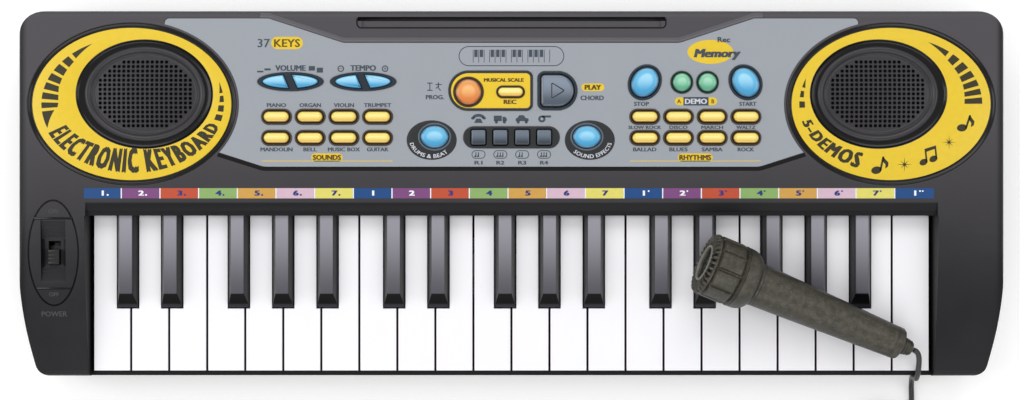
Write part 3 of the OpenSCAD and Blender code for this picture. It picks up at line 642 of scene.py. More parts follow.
# ---------------------------------------------------------------- the microphone's cord
CORD_D = 3.0
CORD_ROUTE = [
    (221.5, -85.9, 42.6), (223.1, -86.8, 42.2), (224.3, -88.5, 41.5), (224.9, -90.8, 40.6),
    (225.1, -93.4, 39.5), (225.1, -96.2, 38.4), (225.1, -98.8, 37.1), (225.2, -101.2, 34.7),
    (225.4, -102.6, 31.2), (225.8, -102.9, 26.0), (226.4, -102.9, 20.0), (227.0, -103.2, 14.0),
    (227.6, -104.4, 9.0), (228.2, -107.0, 5.0), (228.6, -110.6, 2.7), (228.9, -114.6, 1.7),
    (229.0, -119.4, 1.5), (229.0, -124.4, 1.5), (229.0, -129.4, 1.5),
]
COIL_AT = Vector((212.0, -145.0))
COIL_OUTER, COIL_INNER = 21.5, 12.35
COIL_TURNS = 7.25
LAYER_TURNS = 3.0
LAYER_RISE = 3.05
TOP_TURN_INSET = 4.3
PLUG_AT = Vector((189.0, -162.0, 4.6))


def ease(t, a, b):
    t = min(1.0, max(0.0, (t - a) / (b - a)))
    return t * t * (3 - 2 * t)


def coil_point(t):
    """Place on the wound cord after t turns: one layer inwards, one outwards, one turn on top."""
    width, low = COIL_OUTER - COIL_INNER, CORD_D / 2
    start = LAYER_TURNS + 0.3
    if t < LAYER_TURNS:
        r, z = COIL_OUTER - width * t / LAYER_TURNS, low
    elif t < start:
        r, z = COIL_INNER, low + LAYER_RISE * ease(t, LAYER_TURNS, start)
    else:
        full = start + LAYER_TURNS
        r = COIL_INNER + width * min(1.0, (t - start) / LAYER_TURNS)
        z = low + LAYER_RISE * (1 + ease(t, full, full + 0.25))
        r -= TOP_TURN_INSET * ease(t, full + 0.2, full + 0.55)
    angle = -tau * t
    return Vector((COIL_AT.x + r * cos(angle), COIL_AT.y + r * sin(angle), z))


def smooth_path(points, steps):
    """A Catmull-Rom curve through the points."""
    points = [Vector(p) for p in points]
    out = []
    for i in range(len(points) - 1):
        p0, p1, p2 = points[max(i - 1, 0)], points[i], points[i + 1]
        p3 = points[min(i + 2, len(points) - 1)]
        for k in range(steps):
            t = k / steps
            out.append(0.5 * (2 * p1 + (p2 - p0) * t + (2 * p0 - 5 * p1 + 4 * p2 - p3) * t * t
                              + (3 * p1 - p0 - 3 * p2 + p3) * t ** 3))
    return out + [points[-1]]


def cord_path():
    leading = smooth_path(CORD_ROUTE + [(229.8, -134.0, 1.5), (231.8, -139.0, 1.5), coil_point(0.0)], 3)
    coil = [coil_point(i / 30) for i in range(1, int(COIL_TURNS * 30) + 1)]
    tail = smooth_path([coil[-1], (205.5, -162.7, 7.6), (200.0, -162.6, 7.5), (196.6, -162.4, 7.0),
                        (194.2, -162.2, 6.0), (191.8, -162.0, 5.0), (189.2, -162.0, 4.6)], 3)
    return leading[:-1] + coil + tail[1:]


def tube(path, r, count=12):
    """A round tube along a path, turning as little as it can, with closed ends."""
    rings = []
    side = None
    for i, p in enumerate(path):
        along = (path[min(i + 1, len(path) - 1)] - path[max(i - 1, 0)]).normalized()
        side = Vector((0, 0, 1)).cross(along) if side is None else side
        side = (side - along * side.dot(along)).normalized()
        up = along.cross(side)
        turns = [tau * k / count for k in range(count)]
        rings.append([p + r * (cos(t) * side + sin(t) * up) for t in turns])
    return loft(rings, ends=(True, True))


def make_cord():
    path = cord_path()
    look = rubber_look("cord_rubber", "2b2b2a")
    cord = finished("cord", tube(path, CORD_D / 2), look)
    path[0] * MM
    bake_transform(cord)
    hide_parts("microphone_cord", "cord_coil")
    plug = make_plug()
    path[0] * MM
    [p * MM for p in path]


def make_plug():
    """Jack plug: ribbed bend guard, grip with finger grooves, and a contact pin with two insulating rings."""
    guard = [(0, 0), (2.0, 0)]
    for i in range(5):
        z = 0.4 + i * 1.3
        r = 2.1 + 0.25 * i
        guard += [(r, z), (r + 0.25, z + 0.3), (r + 0.25, z + 0.8), (r - 0.1, z + 1.0)]
    grip = [(3.4, 7), (4.1, 7.4), (4.4, 8.2)]
    for i in range(6):
        z = 10 + i * 2
        grip += [(4.4, z), (4.05, z + 0.3), (4.05, z + 0.8), (4.4, z + 1.1)]
    grip += [(4.4, 23.4), (4.1, 24.1), (3.0, 25.2), (2.6, 25.4), (0, 25.4)]
    pin = [(0, 25.3), (1.75, 25.3), (1.75, 31), (1.55, 31.1), (1.55, 31.7), (1.75, 31.8), (1.75, 35),
           (1.55, 35.1), (1.55, 35.7), (1.75, 35.8), (1.45, 36.6), (1.75, 37.6), (1.3, 38.8), (0.5, 39.5),
           (0, 39.6)]
    place = Matrix.Translation(PLUG_AT) @ Matrix.Rotation(radians(-90), 4, "Y")
    body, metal = lathe(guard + grip, 48), lathe(pin, 32)
    for bm in (body, metal):
        bmesh.ops.transform(bm, matrix=place, verts=bm.verts)
    pin_piece = piece("plug_pin", metal, metal_look("plug_metal", "c8c8cc", 0.3), slot="plug_black")
    body_piece = piece("plug_grip", body, plastic("plug_black", "39393b", 0.4), slot="plug_black",
                       nodes=("microphone_plug",))
    pin_piece.parent = body_piece
    pin_piece.matrix_parent_inverse = body_piece.matrix_world.inverted()
    return body_piece


make_cord()


# ---------------------------------------------------------------- lights and floor
def area_light(name, at, size, power, aim=(0, 0, 0)):
    data = bpy.data.lights.new(name, "AREA")
    data.shape = "RECTANGLE"
    data.size, data.size_y = size
    data.energy = power
    light = bpy.data.objects.new(name, data)
    light.location = Vector(at)
    light.rotation_euler = (Vector(aim) - Vector(at)).to_track_quat("-Z", "Y").to_euler()
    scene.collection.objects.link(light)


def make_world(strength):
    world = bpy.data.worlds.new("studio")
    world.use_nodes = True
    background = world.node_tree.nodes["Background"]
    background.inputs["Color"].default_value = (1, 1, 1, 1)
    background.inputs["Strength"].default_value = strength
    scene.world = world


def make_floor():
    bm = bmesh.new()
    bmesh.ops.create_grid(bm, x_segments=1, y_segments=1, size=6)
    mesh = bpy.data.meshes.new("floor")
    bm.to_mesh(mesh)
    bm.free()
    look = Look("floor_white", Roughness=0.9, Base_Color=(0.93, 0.93, 0.93), Emission_Strength=0.2,
                Emission_Color=(1.0, 1.0, 1.0))
    mesh.materials.append(look.material)
    floor = placed("floor", mesh)


make_world(0.52)
make_floor()
area_light("back_softbox", (0.0, 1.1, 1.15), (1.6, 0.7), 8.5)
area_light("front_softbox", (0.0, -1.2, 1.15), (1.6, 0.7), 7.0)
area_light("left_softbox", (-1.25, 0.1, 1.05), (0.7, 1.4), 7.5)
area_light("right_softbox", (1.35, 0.0, 1.15), (0.7, 1.4), 5.0)


# ---------------------------------------------------------------- the looks of this toy
CASE = case_look()
GLOSS_BLACK = plastic("gloss_black", "0e0d0f", 0.2, coat=0.15, shine=0.3)
TRIM = plastic("trim_dark", "1d1c1f", 0.36, shine=0.3)
LIP = plastic("lip_grey", "5d5b60", 0.36, shine=0.3)
FAINT = plastic("raised_marks", "49474b", 0.4, shine=0.3)
PANEL = plastic("panel_grey", "999ea5", 0.4, grain=0.7, relief=0.01, mottle=0.025, shine=0.3)
GRILLE_LOOK = plastic("grille_black", "2f2d30", 0.36, shine=0.5)
# painted shade: a near-black look for the discs under the grille holes
HOLE_SHADE = plastic("speaker_hole_shade", "0d0d0e", 0.85, grain=0.3, relief=0.1)
RING_YELLOW = print_look("ring_yellow", "e2c130", 0.35)
PLATE_YELLOW = plastic("plate_yellow", "e6c32c", 0.25, coat=0.3, mottle=0.03)
OLIVE_INK = print_look("olive_ink", "302b16")
SLATE_INK = print_look("slate_ink", "3d4651")
BROWN_INK = print_look("brown_ink", "5a4312")
WHITE_INK = print_look("white_ink", "eceef2")
NAVY_INK = print_look("navy_ink", "1f2f7a")
PALE_INK = print_look("pale_ink", "c9ccd2")
RIM_BROWN = plastic("rim_brown", "3d321f", 0.3, coat=0.3)
RIM_NAVY = plastic("rim_navy", "1c2834", 0.26, coat=0.4)
RIM_GREEN = plastic("rim_green", "1f3a30", 0.28, coat=0.3)
RIM_BLACK = plastic("rim_black", "232528", 0.3, coat=0.3)
RING_GREY = plastic("ring_grey", "55616c", 0.3, coat=0.3)
MIC_RING = plastic("microphone_ring", "77756a", 0.35)
# cap looks: painted side shade, body colour, painted highlight, painted shade at the lower edge
YELLOW_CAP = cap_look("button_yellow", "6b4c18", "f0d75c", "f8f0a4", "e6bf58")
RECORD_CAP = cap_look("record_yellow", "6a4a12", "f4e070", "fbf3ae", "e8b84a")
BLUE_CAP = cap_look("button_blue", "22506c", "66b9e2", "a6dcf4", "3f9bcb")
GREEN_CAP = cap_look("button_green", "2b5a46", "7fc6a0", "abdcc2", "58a886")
PLAY_CAP = cap_look("button_play", "171b22", "66717f", "818d9d", "4a5462")
SLATE_CAP = cap_look("button_slate", "14181f", "4a5462", "66727f", "303944")
ORANGE_CAP = cap_look("button_orange", "7a4414", "e89a50", "f6bf80", "d97c38")


# ---------------------------------------------------------------- case
SWITCH = Vector((-251.7, -32.4))
SWITCH_OVAL = (14.2, 29.4)
SCOOP_R, SCOOP_Z = 42.0, 83.0
RING_OUTER = (57.5, 44.7)
YELLOW_OUTER = (54.6, 41.8)
YELLOW_INNER = (37.7, 30.0)


def around(side, centre):
    return (side * centre.x, centre.y)


def both_sides(make):
    """The same shape for the left loudspeaker and for the right one."""
    return join([make(-1), make(1)])


def open_bend(points, radius):
    """An open line whose inner corners are rounded."""
    corners = [(x, y, radius if 0 < i < len(points) - 1 else 0) for i, (x, y) in enumerate(points)]
    return rounded(corners)


def cut_with(obj, bm):
    """Takes the shape bm, in millimetres, out of a finished piece."""
    cutter = finished("cutter", bm)
    change = obj.modifiers.new("cut", "BOOLEAN")
    change.operation, change.solver, change.object = "DIFFERENCE", "EXACT", cutter
    graph = bpy.context.evaluated_depsgraph_get()
    cut = bpy.data.meshes.new_from_object(obj.evaluated_get(graph))
    obj.modifiers.clear()
    obj.data = cut
    cut.shade_smooth()
    cut.set_sharp_from_angle(angle=radians(30))
    flatten(obj)
    bpy.data.objects.remove(cutter)


def make_top_case():
    """The CAD shell, its edges rounded, with grooves cut around the rings and the switch."""
    shell = piece("top_shell", soften("top_case", 0.35, low=33.0), CASE, nodes=("top_case",))
    cutters = []
    for s in (-1, 1):
        cutters.append(sweep(ellipse(around(s, RING), *RING_OUTER, 128),
                             [(0, DECK_Z + 2), (0, 44.7), (-3.0, 44.7), (-3.0, DECK_Z + 2)]))
        cutters.append(sweep(ellipse(around(s, RING_HOLE), *YELLOW_INNER, 128), [(0, 44.2), (0, DECK_Z + 2)],
                             around=False, ends=(True, True)))
    cutters.append(sweep(ellipse(SWITCH, *SWITCH_OVAL), [(0, 4), (0, -0.8), (-0.5, -1.0), (-1.0, -0.8),
                                                         (-1.0, 4)],
                         lift=lambda x, y: top_z(y)))
    cut_with(shell, join(cutters))


def scoop_z(y):
    return SCOOP_Z - sqrt(SCOOP_R ** 2 - (y - SWITCH.y) ** 2)


def make_switch():
    """Ribs in the finger scoop, the bars and marks beside it, and the knob."""
    ribs = []
    for i in range(8):
        for y in (SWITCH.y - 9.0 - 1.15 * i, SWITCH.y + 9.0 + 1.15 * i):
            if scoop_z(y) < top_z(y) - 0.4:
                ribs.append(cylinder((SWITCH.x - 6.3, y, scoop_z(y)), (SWITCH.x + 6.3, y, scoop_z(y)), 0.34,
                                     10))
    piece("switch_ribs", join(ribs), TRIM)
    bars = [block(SWITCH.x - half, SWITCH.x + half, y - 0.7, y + 0.7, top_z(y) - 0.4, top_z(y) + 0.16, 0.15)
            for y, half in ((-13.4, 10.6), (-52.0, 9.4))]
    piece("switch_bars", join(bars), GLOSS_BLACK)
    marks = join(words(text, (SWITCH.x, y), height, width, bold, z=0) for text, y, height, width, bold in (
        ("ON", -9.4, 2.4, None, 0.06), ("OFF", -55.2, 2.2, None, 0.06), ("POWER", -66.0, 2.8, 14.0, 0.08)))
    for v in marks.verts:
        v.co.z += top_z(v.co.y)
    piece("switch_marks", marks, FAINT)
    # painted shade: a thin gloss-black plate under the knob's slot stands in for the shade below it
    piece("switch_shade", block(SWITCH.x - 5.6, SWITCH.x + 5.6, SWITCH.y - 9.5, SWITCH.y + 9.5, 35.25, 35.5,
                                0.05), GLOSS_BLACK)
    piece("switch_knob", soften("power_switch", 0.25, low=40.0), plastic("switch_black", "1a191c", 0.35),
          body="power_switch", slot="switch_black", nodes=("power_switch",))


def make_case_trim():
    """Bevelled lip above the panel's dip, gloss line below the panel, and the edge of the music rest slot."""
    dip = open_bend([(-138.0, 96.6), (-133.5, 96.6), (-92.5, 83.2), (92.5, 83.2), (133.5, 96.6),
                     (138.0, 96.6)], 4.0)
    lip = [(-0.1, 45.7), (-0.1, 46.2), (-0.5, 46.5), (-1.1, 46.3), (-1.6, 46.2), (-2.2, 46.4), (-2.7, 46.1),
           (-2.8, 45.7)]
    piece("panel_lip", sweep(dip, lip, closed=False), LIP)
    edge = open_bend([(-161.0, 22.6), (-136.4, 14.8), (136.4, 14.8), (161.0, 22.6)], 12.0)
    line = [(0.0, 45.5), (0.0, 46.04), (0.5, 46.12), (1.6, 46.12), (2.1, 46.04), (2.1, 45.5)]
    piece("panel_line", sweep(edge, line, closed=False), GLOSS_BLACK)
    trough = open_bend([(-84.4, 96.4), (-84.4, 91.6), (84.4, 91.6), (84.4, 96.4)], 2.0)
    piece("rest_line", sweep(trough, [(0, 45.5), (0, 46.03), (0.8, 46.03), (0.8, 45.5)], closed=False),
          GLOSS_BLACK)


def make_underside():
    piece("bottom_shell", soften("bottom_case", 0.4, angle=40), CASE, nodes=("bottom_case",), smooth=30,
          weighted=True)
    piece("battery_lid", soften("battery_door", 0.2, angle=40),
          plastic("door_plastic", "2f2d30", 0.4, shine=0.3), body="battery_door", nodes=("battery_door",),
          weighted=True)


# ---------------------------------------------------------------- loudspeakers and their rings
RING_TOP = 46.3
CELL = (2.6, 2.5)
CELL_HOLE_R = 0.98


def grille_plate(side):
    """A domed plate of square cells, each with a round hole where the sound comes out."""
    columns, rows = 26, 21
    bm = bmesh.new()
    bmesh.ops.create_grid(bm, x_segments=columns, y_segments=rows, size=1)
    bmesh.ops.scale(bm, vec=(columns * CELL[0] / 2, rows * CELL[1] / 2, 1), verts=bm.verts)

    def reach(face, a, b):
        x, y = face.calc_center_median().xy
        return (x / a) ** 2 + (y / b) ** 2

    spare = [f for f in bm.faces if reach(f, 31.5, 24.5) > 1]
    bmesh.ops.delete(bm, geom=spare, context="FACES")
    bmesh.ops.subdivide_edges(bm, edges=bm.edges, cuts=2)
    holes = [f for f in bm.faces if reach(f, 27.0, 19.5) < 1]
    bmesh.ops.inset_individual(bm, faces=holes, thickness=0.2)
    for f in holes:
        middle = f.calc_center_median()
        for v in f.verts:
            v.co = middle + (v.co - middle).normalized() * CELL_HOLE_R
    bmesh.ops.delete(bm, geom=holes, context="FACES_ONLY")
    for v in bm.verts:
        v.co.z = 45.0 + 1.5 * max(0.0, 1 - (v.co.x / 29.0) ** 2 - (v.co.y / 22.5) ** 2)
    bmesh.ops.recalc_face_normals(bm, faces=bm.faces)
    bmesh.ops.solidify(bm, geom=bm.faces[:], thickness=0.9)
    bmesh.ops.translate(bm, vec=(side * SPEAKER.x, SPEAKER.y, 0), verts=bm.verts)
    return bm


def rim_around(centre, axes, profile):
    return both_sides(lambda s: sweep(ellipse(around(s, centre), *axes, 128), profile))


def make_speakers():
    piece("grille_plates", both_sides(grille_plate), GRILLE_LOOK, slot="grille_black",
          nodes=("speaker_grilles",))
    ridge = [(0, 44.0), (0, 45.5), (-0.4, 46.3), (-1.2, 46.8), (-2.0, 46.8), (-2.9, 46.3), (-3.5, 45.6),
             (-3.9, 45.1), (-4.3, 45.0), (-4.6, 45.3), (-5.0, 45.5), (-5.5, 45.3), (-5.9, 45.0), (-6.0, 44.2)]
    piece("grille_ridges", rim_around(SPEAKER, (33.3, 26.2), ridge), GRILLE_LOOK, slot="grille_black",
          smooth=60)
    # painted shade: the sloping wells between the grille ridges and the yellow rings are coloured gloss black
    well = [(0.0, 44.3), (0.0, 46.28), (-0.35, 46.2), (-0.8, 45.5), (-1.6, 44.95), (-3.0, 44.75),
            (-5.2, 44.7), (-5.2, 44.3)]
    piece("grille_wells", rim_around(RING_HOLE, (37.8, 30.1), well), GLOSS_BLACK, slot="grille_black",
          smooth=60)
    # painted shade: black discs under the grille holes stand in for the shade deep inside them
    hole_shade_discs = [plate([ellipse(around(s, SPEAKER), 32, 25, 64)], 43.2, 43.4) for s in (-1, 1)]
    piece("speaker_hole_shade", join(hole_shade_discs), HOLE_SHADE, slot="grille_black")
    # painted shade: the grooves round the yellow rings are coloured gloss black
    groove = [(0, 44.8), (0, 45.95), (-0.25, 46.1), (-0.7, 45.9), (-1.4, 45.3), (-2.2, 45.1), (-2.8, 45.4),
              (-3.0, 45.9), (-3.0, 44.8)]
    piece("ring_grooves", rim_around(RING, RING_OUTER, groove), GLOSS_BLACK, smooth=60)
    border = [(1.5, 44.85), (1.5, 45.9), (1.1, 46.12), (0.6, 46.2), (0.1, 46.12), (0.0, 45.9), (0.0, 44.85)]
    piece("ring_borders", rim_around(RING, RING_OUTER, border), CASE, smooth=60)
    yellow = [plate([ellipse(around(s, RING), *YELLOW_OUTER, 128),
                     ellipse(around(s, RING_HOLE), *YELLOW_INNER, 128)],
                    45.4, RING_TOP, 0.15) for s in (-1, 1)]
    piece("yellow_rings", join(yellow), RING_YELLOW)


def band(side, angle, inset):
    """A point on a yellow ring: angle in degrees, inset from the ring's outer edge."""
    t = radians(angle)
    return (side * RING.x + (YELLOW_OUTER[0] - inset) * cos(t), RING.y + (YELLOW_OUTER[1] - inset) * sin(t))


def segment(side, start, end, inset, first, last, steps=8):
    """A printed bar on a ring between two angles, whose width runs from first to last."""
    outer = [band(side, start + (end - start) * i / steps, inset) for i in range(steps + 1)]
    inner = [band(side, start + (end - start) * i / steps,
                  inset + max(0.02, first + (last - first) * i / steps))
             for i in range(steps, -1, -1)]
    return flat(outer + inner, z=RING_TOP)


def turned(bm, at, angle):
    place = Matrix.Translation((at[0], at[1], 0)) @ Matrix.Rotation(radians(angle), 4, "Z")
    bmesh.ops.transform(bm, matrix=place, verts=bm.verts)
    return bm


def drawn(at, height, angle, heads, lines):
    """A printed sign 10 high, scaled: ovals (x, y, a, b, points, turn) and outlines."""
    u = height / 10
    parts = [flat(ellipse((x * u, y * u), a * u, b * u, *rest), z=RING_TOP) for x, y, a, b, *rest in heads]
    parts += [flat([(x * u, y * u) for x, y in line], z=RING_TOP) for line in lines]
    return turned(join(parts), at, angle)


def note(at, height, angle):
    """A note with one flag."""
    return drawn(at, height, angle, [(-1.5, -3.3, 2.9, 2.1, 28, 25)], [
        [(0.2, -3.0), (1.3, -3.0), (1.3, 5), (0.2, 5)],
        [(0.6, 5), (0.6, 2.6), (2.8, 0.9), (3.2, -1.4), (4.5, 0.2), (4.2, 2.4), (2.0, 3.9)]])


def beamed_notes(at, height, angle):
    return drawn(at, height, angle, [(-3.7, -3.8, 2.5, 1.8, 24, 20), (2.2, -2.5, 2.5, 1.8, 24, 20)], [
        [(-2.4, -3.8), (-1.4, -3.8), (-1.4, 2.0), (3.5, 3.2), (3.5, -2.6), (4.5, -2.6), (4.5, 5.2),
         (-2.4, 3.8)]])


def star(at, r):
    """A printed star of thin rays."""
    reach = [1.15 * r, 0.17 * r, 0.85 * r, 0.17 * r] * 4
    return flat([(at[0] + q * cos(tau * i / 16), at[1] + q * sin(tau * i / 16)) for i,
                 q in enumerate(reach)], z=RING_TOP)


def make_ring_prints():
    """Tapering bars, bent words, notes and stars on the yellow rings."""
    parts = []
    # each bar: its first and last angle, and its width at both; the side and the inset go before
    for side, inset, bars in (
            (-1, 5.0, ((116, 131.5, 0, 3.4), (134.5, 140.6, 4.3, 5.1), (143.2, 149.8, 5.4, 6.2),
                       (152.4, 158.6, 6.5, 7.2), (160.9, 167, 7.4, 8.3), (169.8, 175.6, 8.7, 9.2),
                       (178.6, 183.6, 9.3, 8.8), (186.4, 201, 6.9, 0))),
            (-1, 4.0, ((18.6, 9.4, 0, 1.9), (7.0, 1.6, 1.9, 2.5), (-1.2, -6.6, 3.0, 3.2),
                       (-9.4, -14.6, 3.6, 3.9))),
            (1, 4.6, ((66, 50.5, 0, 3.4), (47.2, 41.2, 4.5, 5.3), (38.4, 32.2, 5.8, 6.5),
                      (29.5, 23.8, 7.0, 7.6), (21.2, 15.8, 7.9, 8.5), (13.2, 8.2, 8.8, 9.3),
                      (5.6, 0.2, 9.5, 9.8))),
            (1, 4.2, ((158, 165.8, 0, 1.8), (168.8, 174.2, 1.8, 2.2), (177.8, 183.2, 3.0, 3.1)))):
        parts += [segment(side, start, end, inset, first, last) for start, end, first, last in bars]

    def along(side, start, end, outer, low, high):
        """Bends words along the ring: inset of their feet, and their height running from low to high."""
        return lambda u, v: band(side, start + (end - start) * u, outer + (low + (high - low) * u) * v)

    for text, height, bold, place, spacing in (
            ("ELECTRONIC", 9.0, 1.15, along(-1, 205.0, 274.6, 3.9, 11.0, 14.0), 1.3),
            ("KEYBOARD", 9.0, 1.1, along(-1, 279.4, 341.5, 3.7, 13.2, 6.8), 1.3),
            ("5-DEMOS", 6.0, 0.62, along(1, 194.5, 249.0, 3.9, 5.2, 9.2), 1.2)):
        parts.append(ring_words(text, height, bold, place, RING_TOP, spacing))
    parts += [note((249.6, 38.9), 9.6, -18), star((240.2, 28.4), 3.4), beamed_notes((229.3, 21.4), 9.4, 6),
              star((215.7, 16.2), 3.6), note((202.4, 15.9), 9.8, -12)]
    piece("ring_prints", join(parts), OLIVE_INK)


# ---------------------------------------------------------------- panel, caps and rims
SOUND_X = [-129.0 + 18.5 * i for i in range(4)]
RHYTHM_X = [73.2 + 18.5 * i for i in range(4)]
ROW_Y = (30.8, 42.4)
PILL = (14.2, 6.0)
ROCKER_X, ROCKER_Y = (-121.3, -81.4), 61.7
ROUND_Y = 61.3
STOP_X, START_X = 73.2, 128.5
DEMO_X = (93.5, 107.6)
KNOB_X, KNOB_Y = (-42.2, 41.4), 31.4
PAD_X, PAD_Y = (-18.1, -6.1, 5.9, 17.9), 31.1
PLAY_AT, PLAY_R = (25.2, 56.7), 8.8
PROGRAM_AT, RECORD_AT = (-23.6, 56.0), (-0.5, 56.0)
PLATE_R, PLATE_L = 10.9, 35.2
CAP_EDGE_Z, CROWN_Z = 47.0, CAP_TOP_Z + 0.2
CAP_CUT_Z = 44.5
SEAT_Z = 44.9
GAP = 0.3
WORDS_BOLD = 0.13
RIM_Z = 46.45
PLATE_TOP = 46.3


def play_outline():
    """Plan of the play button: round on the right, square on the left."""
    x, y = PLAY_AT
    left, r = x - 9.05, PLAY_R
    return (arc((x + 0.3, y), r, r, -88, 88, 32) + arc((left + 2.2, y + r - 2.2), 2.2, 2.2, 90, 180, 6)
            + arc((left + 2.2, y - r + 2.2), 2.2, 2.2, 180, 270, 6))


def record_plate():
    """Plan of the plate around the programme and record buttons: round on the left, square on the right."""
    x, y, r = PROGRAM_AT[0], PLAY_AT[1], PLATE_R
    far, corner = x + PLATE_L, 3.6
    return (arc((x, y), r, r, 90, 270, 40) + arc((far - corner, y - r + corner), corner, corner, 270, 360, 8)
            + arc((far - corner, y + r - corner), corner, corner, 0, 90, 8))


def lens(x, side):
    """Half of a volume or tempo lens, beside its slanting bar."""
    a, b, slant, bar = 15.2, 3.7, 2.4, 2.0

    def cut(y):
        return side * bar - slant * y / (b + 2)

    start = 180 if side > 0 else 0
    points = [p for p in arc((0, 0), a, b, start, start + 360, 120)[:-1] if (p[0] - cut(p[1])) * side > 0]
    return [(x + px, ROCKER_Y + py) for px, py in points]


def crown(outline, roll, steps=6):
    """A cap's rounded crown on an outline; its UV gives how far in and how far up the panel a point lies."""
    edge, rise = CAP_EDGE_Z, CROWN_Z - CAP_EDGE_Z
    profile = [(0.0, CAP_CUT_Z - 0.1), (0.0, edge)]
    for i in range(1, steps + 1):
        t = radians(90 * i / steps)
        profile.append((-roll * (1 - cos(t)), edge + rise * sin(t)))
    bm = sweep(outline, profile, around=False, ends=(True, True))
    low, high = min(y for x, y in outline), max(y for x, y in outline)
    uv = bm.loops.layers.uv.new("cap")
    for face in bm.faces:
        for corner in face.loops:
            x, y, z = corner.vert.co
            share = min(1.0, max(0.0, (z - edge) / rise))
            corner[uv].uv = (1 - cos(asin(share)), (y - low) / (high - low))
    return bm


SLOTS = {part["node"]: part["material_slot"] for part in frame["record"]["subparts"]}


def caps(name, node, look, crowns):
    """The caps of one moulding: the CAD arms and flanges below, shaped crowns above."""
    below = node_mesh(node)
    whole_mesh = below.verts[:] + below.edges[:] + below.faces[:]
    bmesh.ops.bisect_plane(below, geom=whole_mesh, plane_co=(0, 0, CAP_CUT_Z), plane_no=(0, 0, 1),
                           clear_outer=True)
    bmesh.ops.holes_fill(below, edges=[e for e in below.edges if e.is_boundary], sides=0)
    whole = bmesh.new()
    whole.loops.layers.uv.new("cap")
    for bm in [below] + crowns:
        add(whole, bm)
    return piece(name, whole, look, body=node, slot=SLOTS[node], nodes=(node,), smooth=50)


def rim(outer, caps_inside, look, name, top=RIM_Z, bevel=0.4, gap=GAP):
    """Dark surrounds of some caps, which come up through them with a small gap."""
    holes = [offset(p, gap) for p in caps_inside]
    piece(name, plate(outer + holes, SEAT_Z, top, bevel), look, smooth=50)


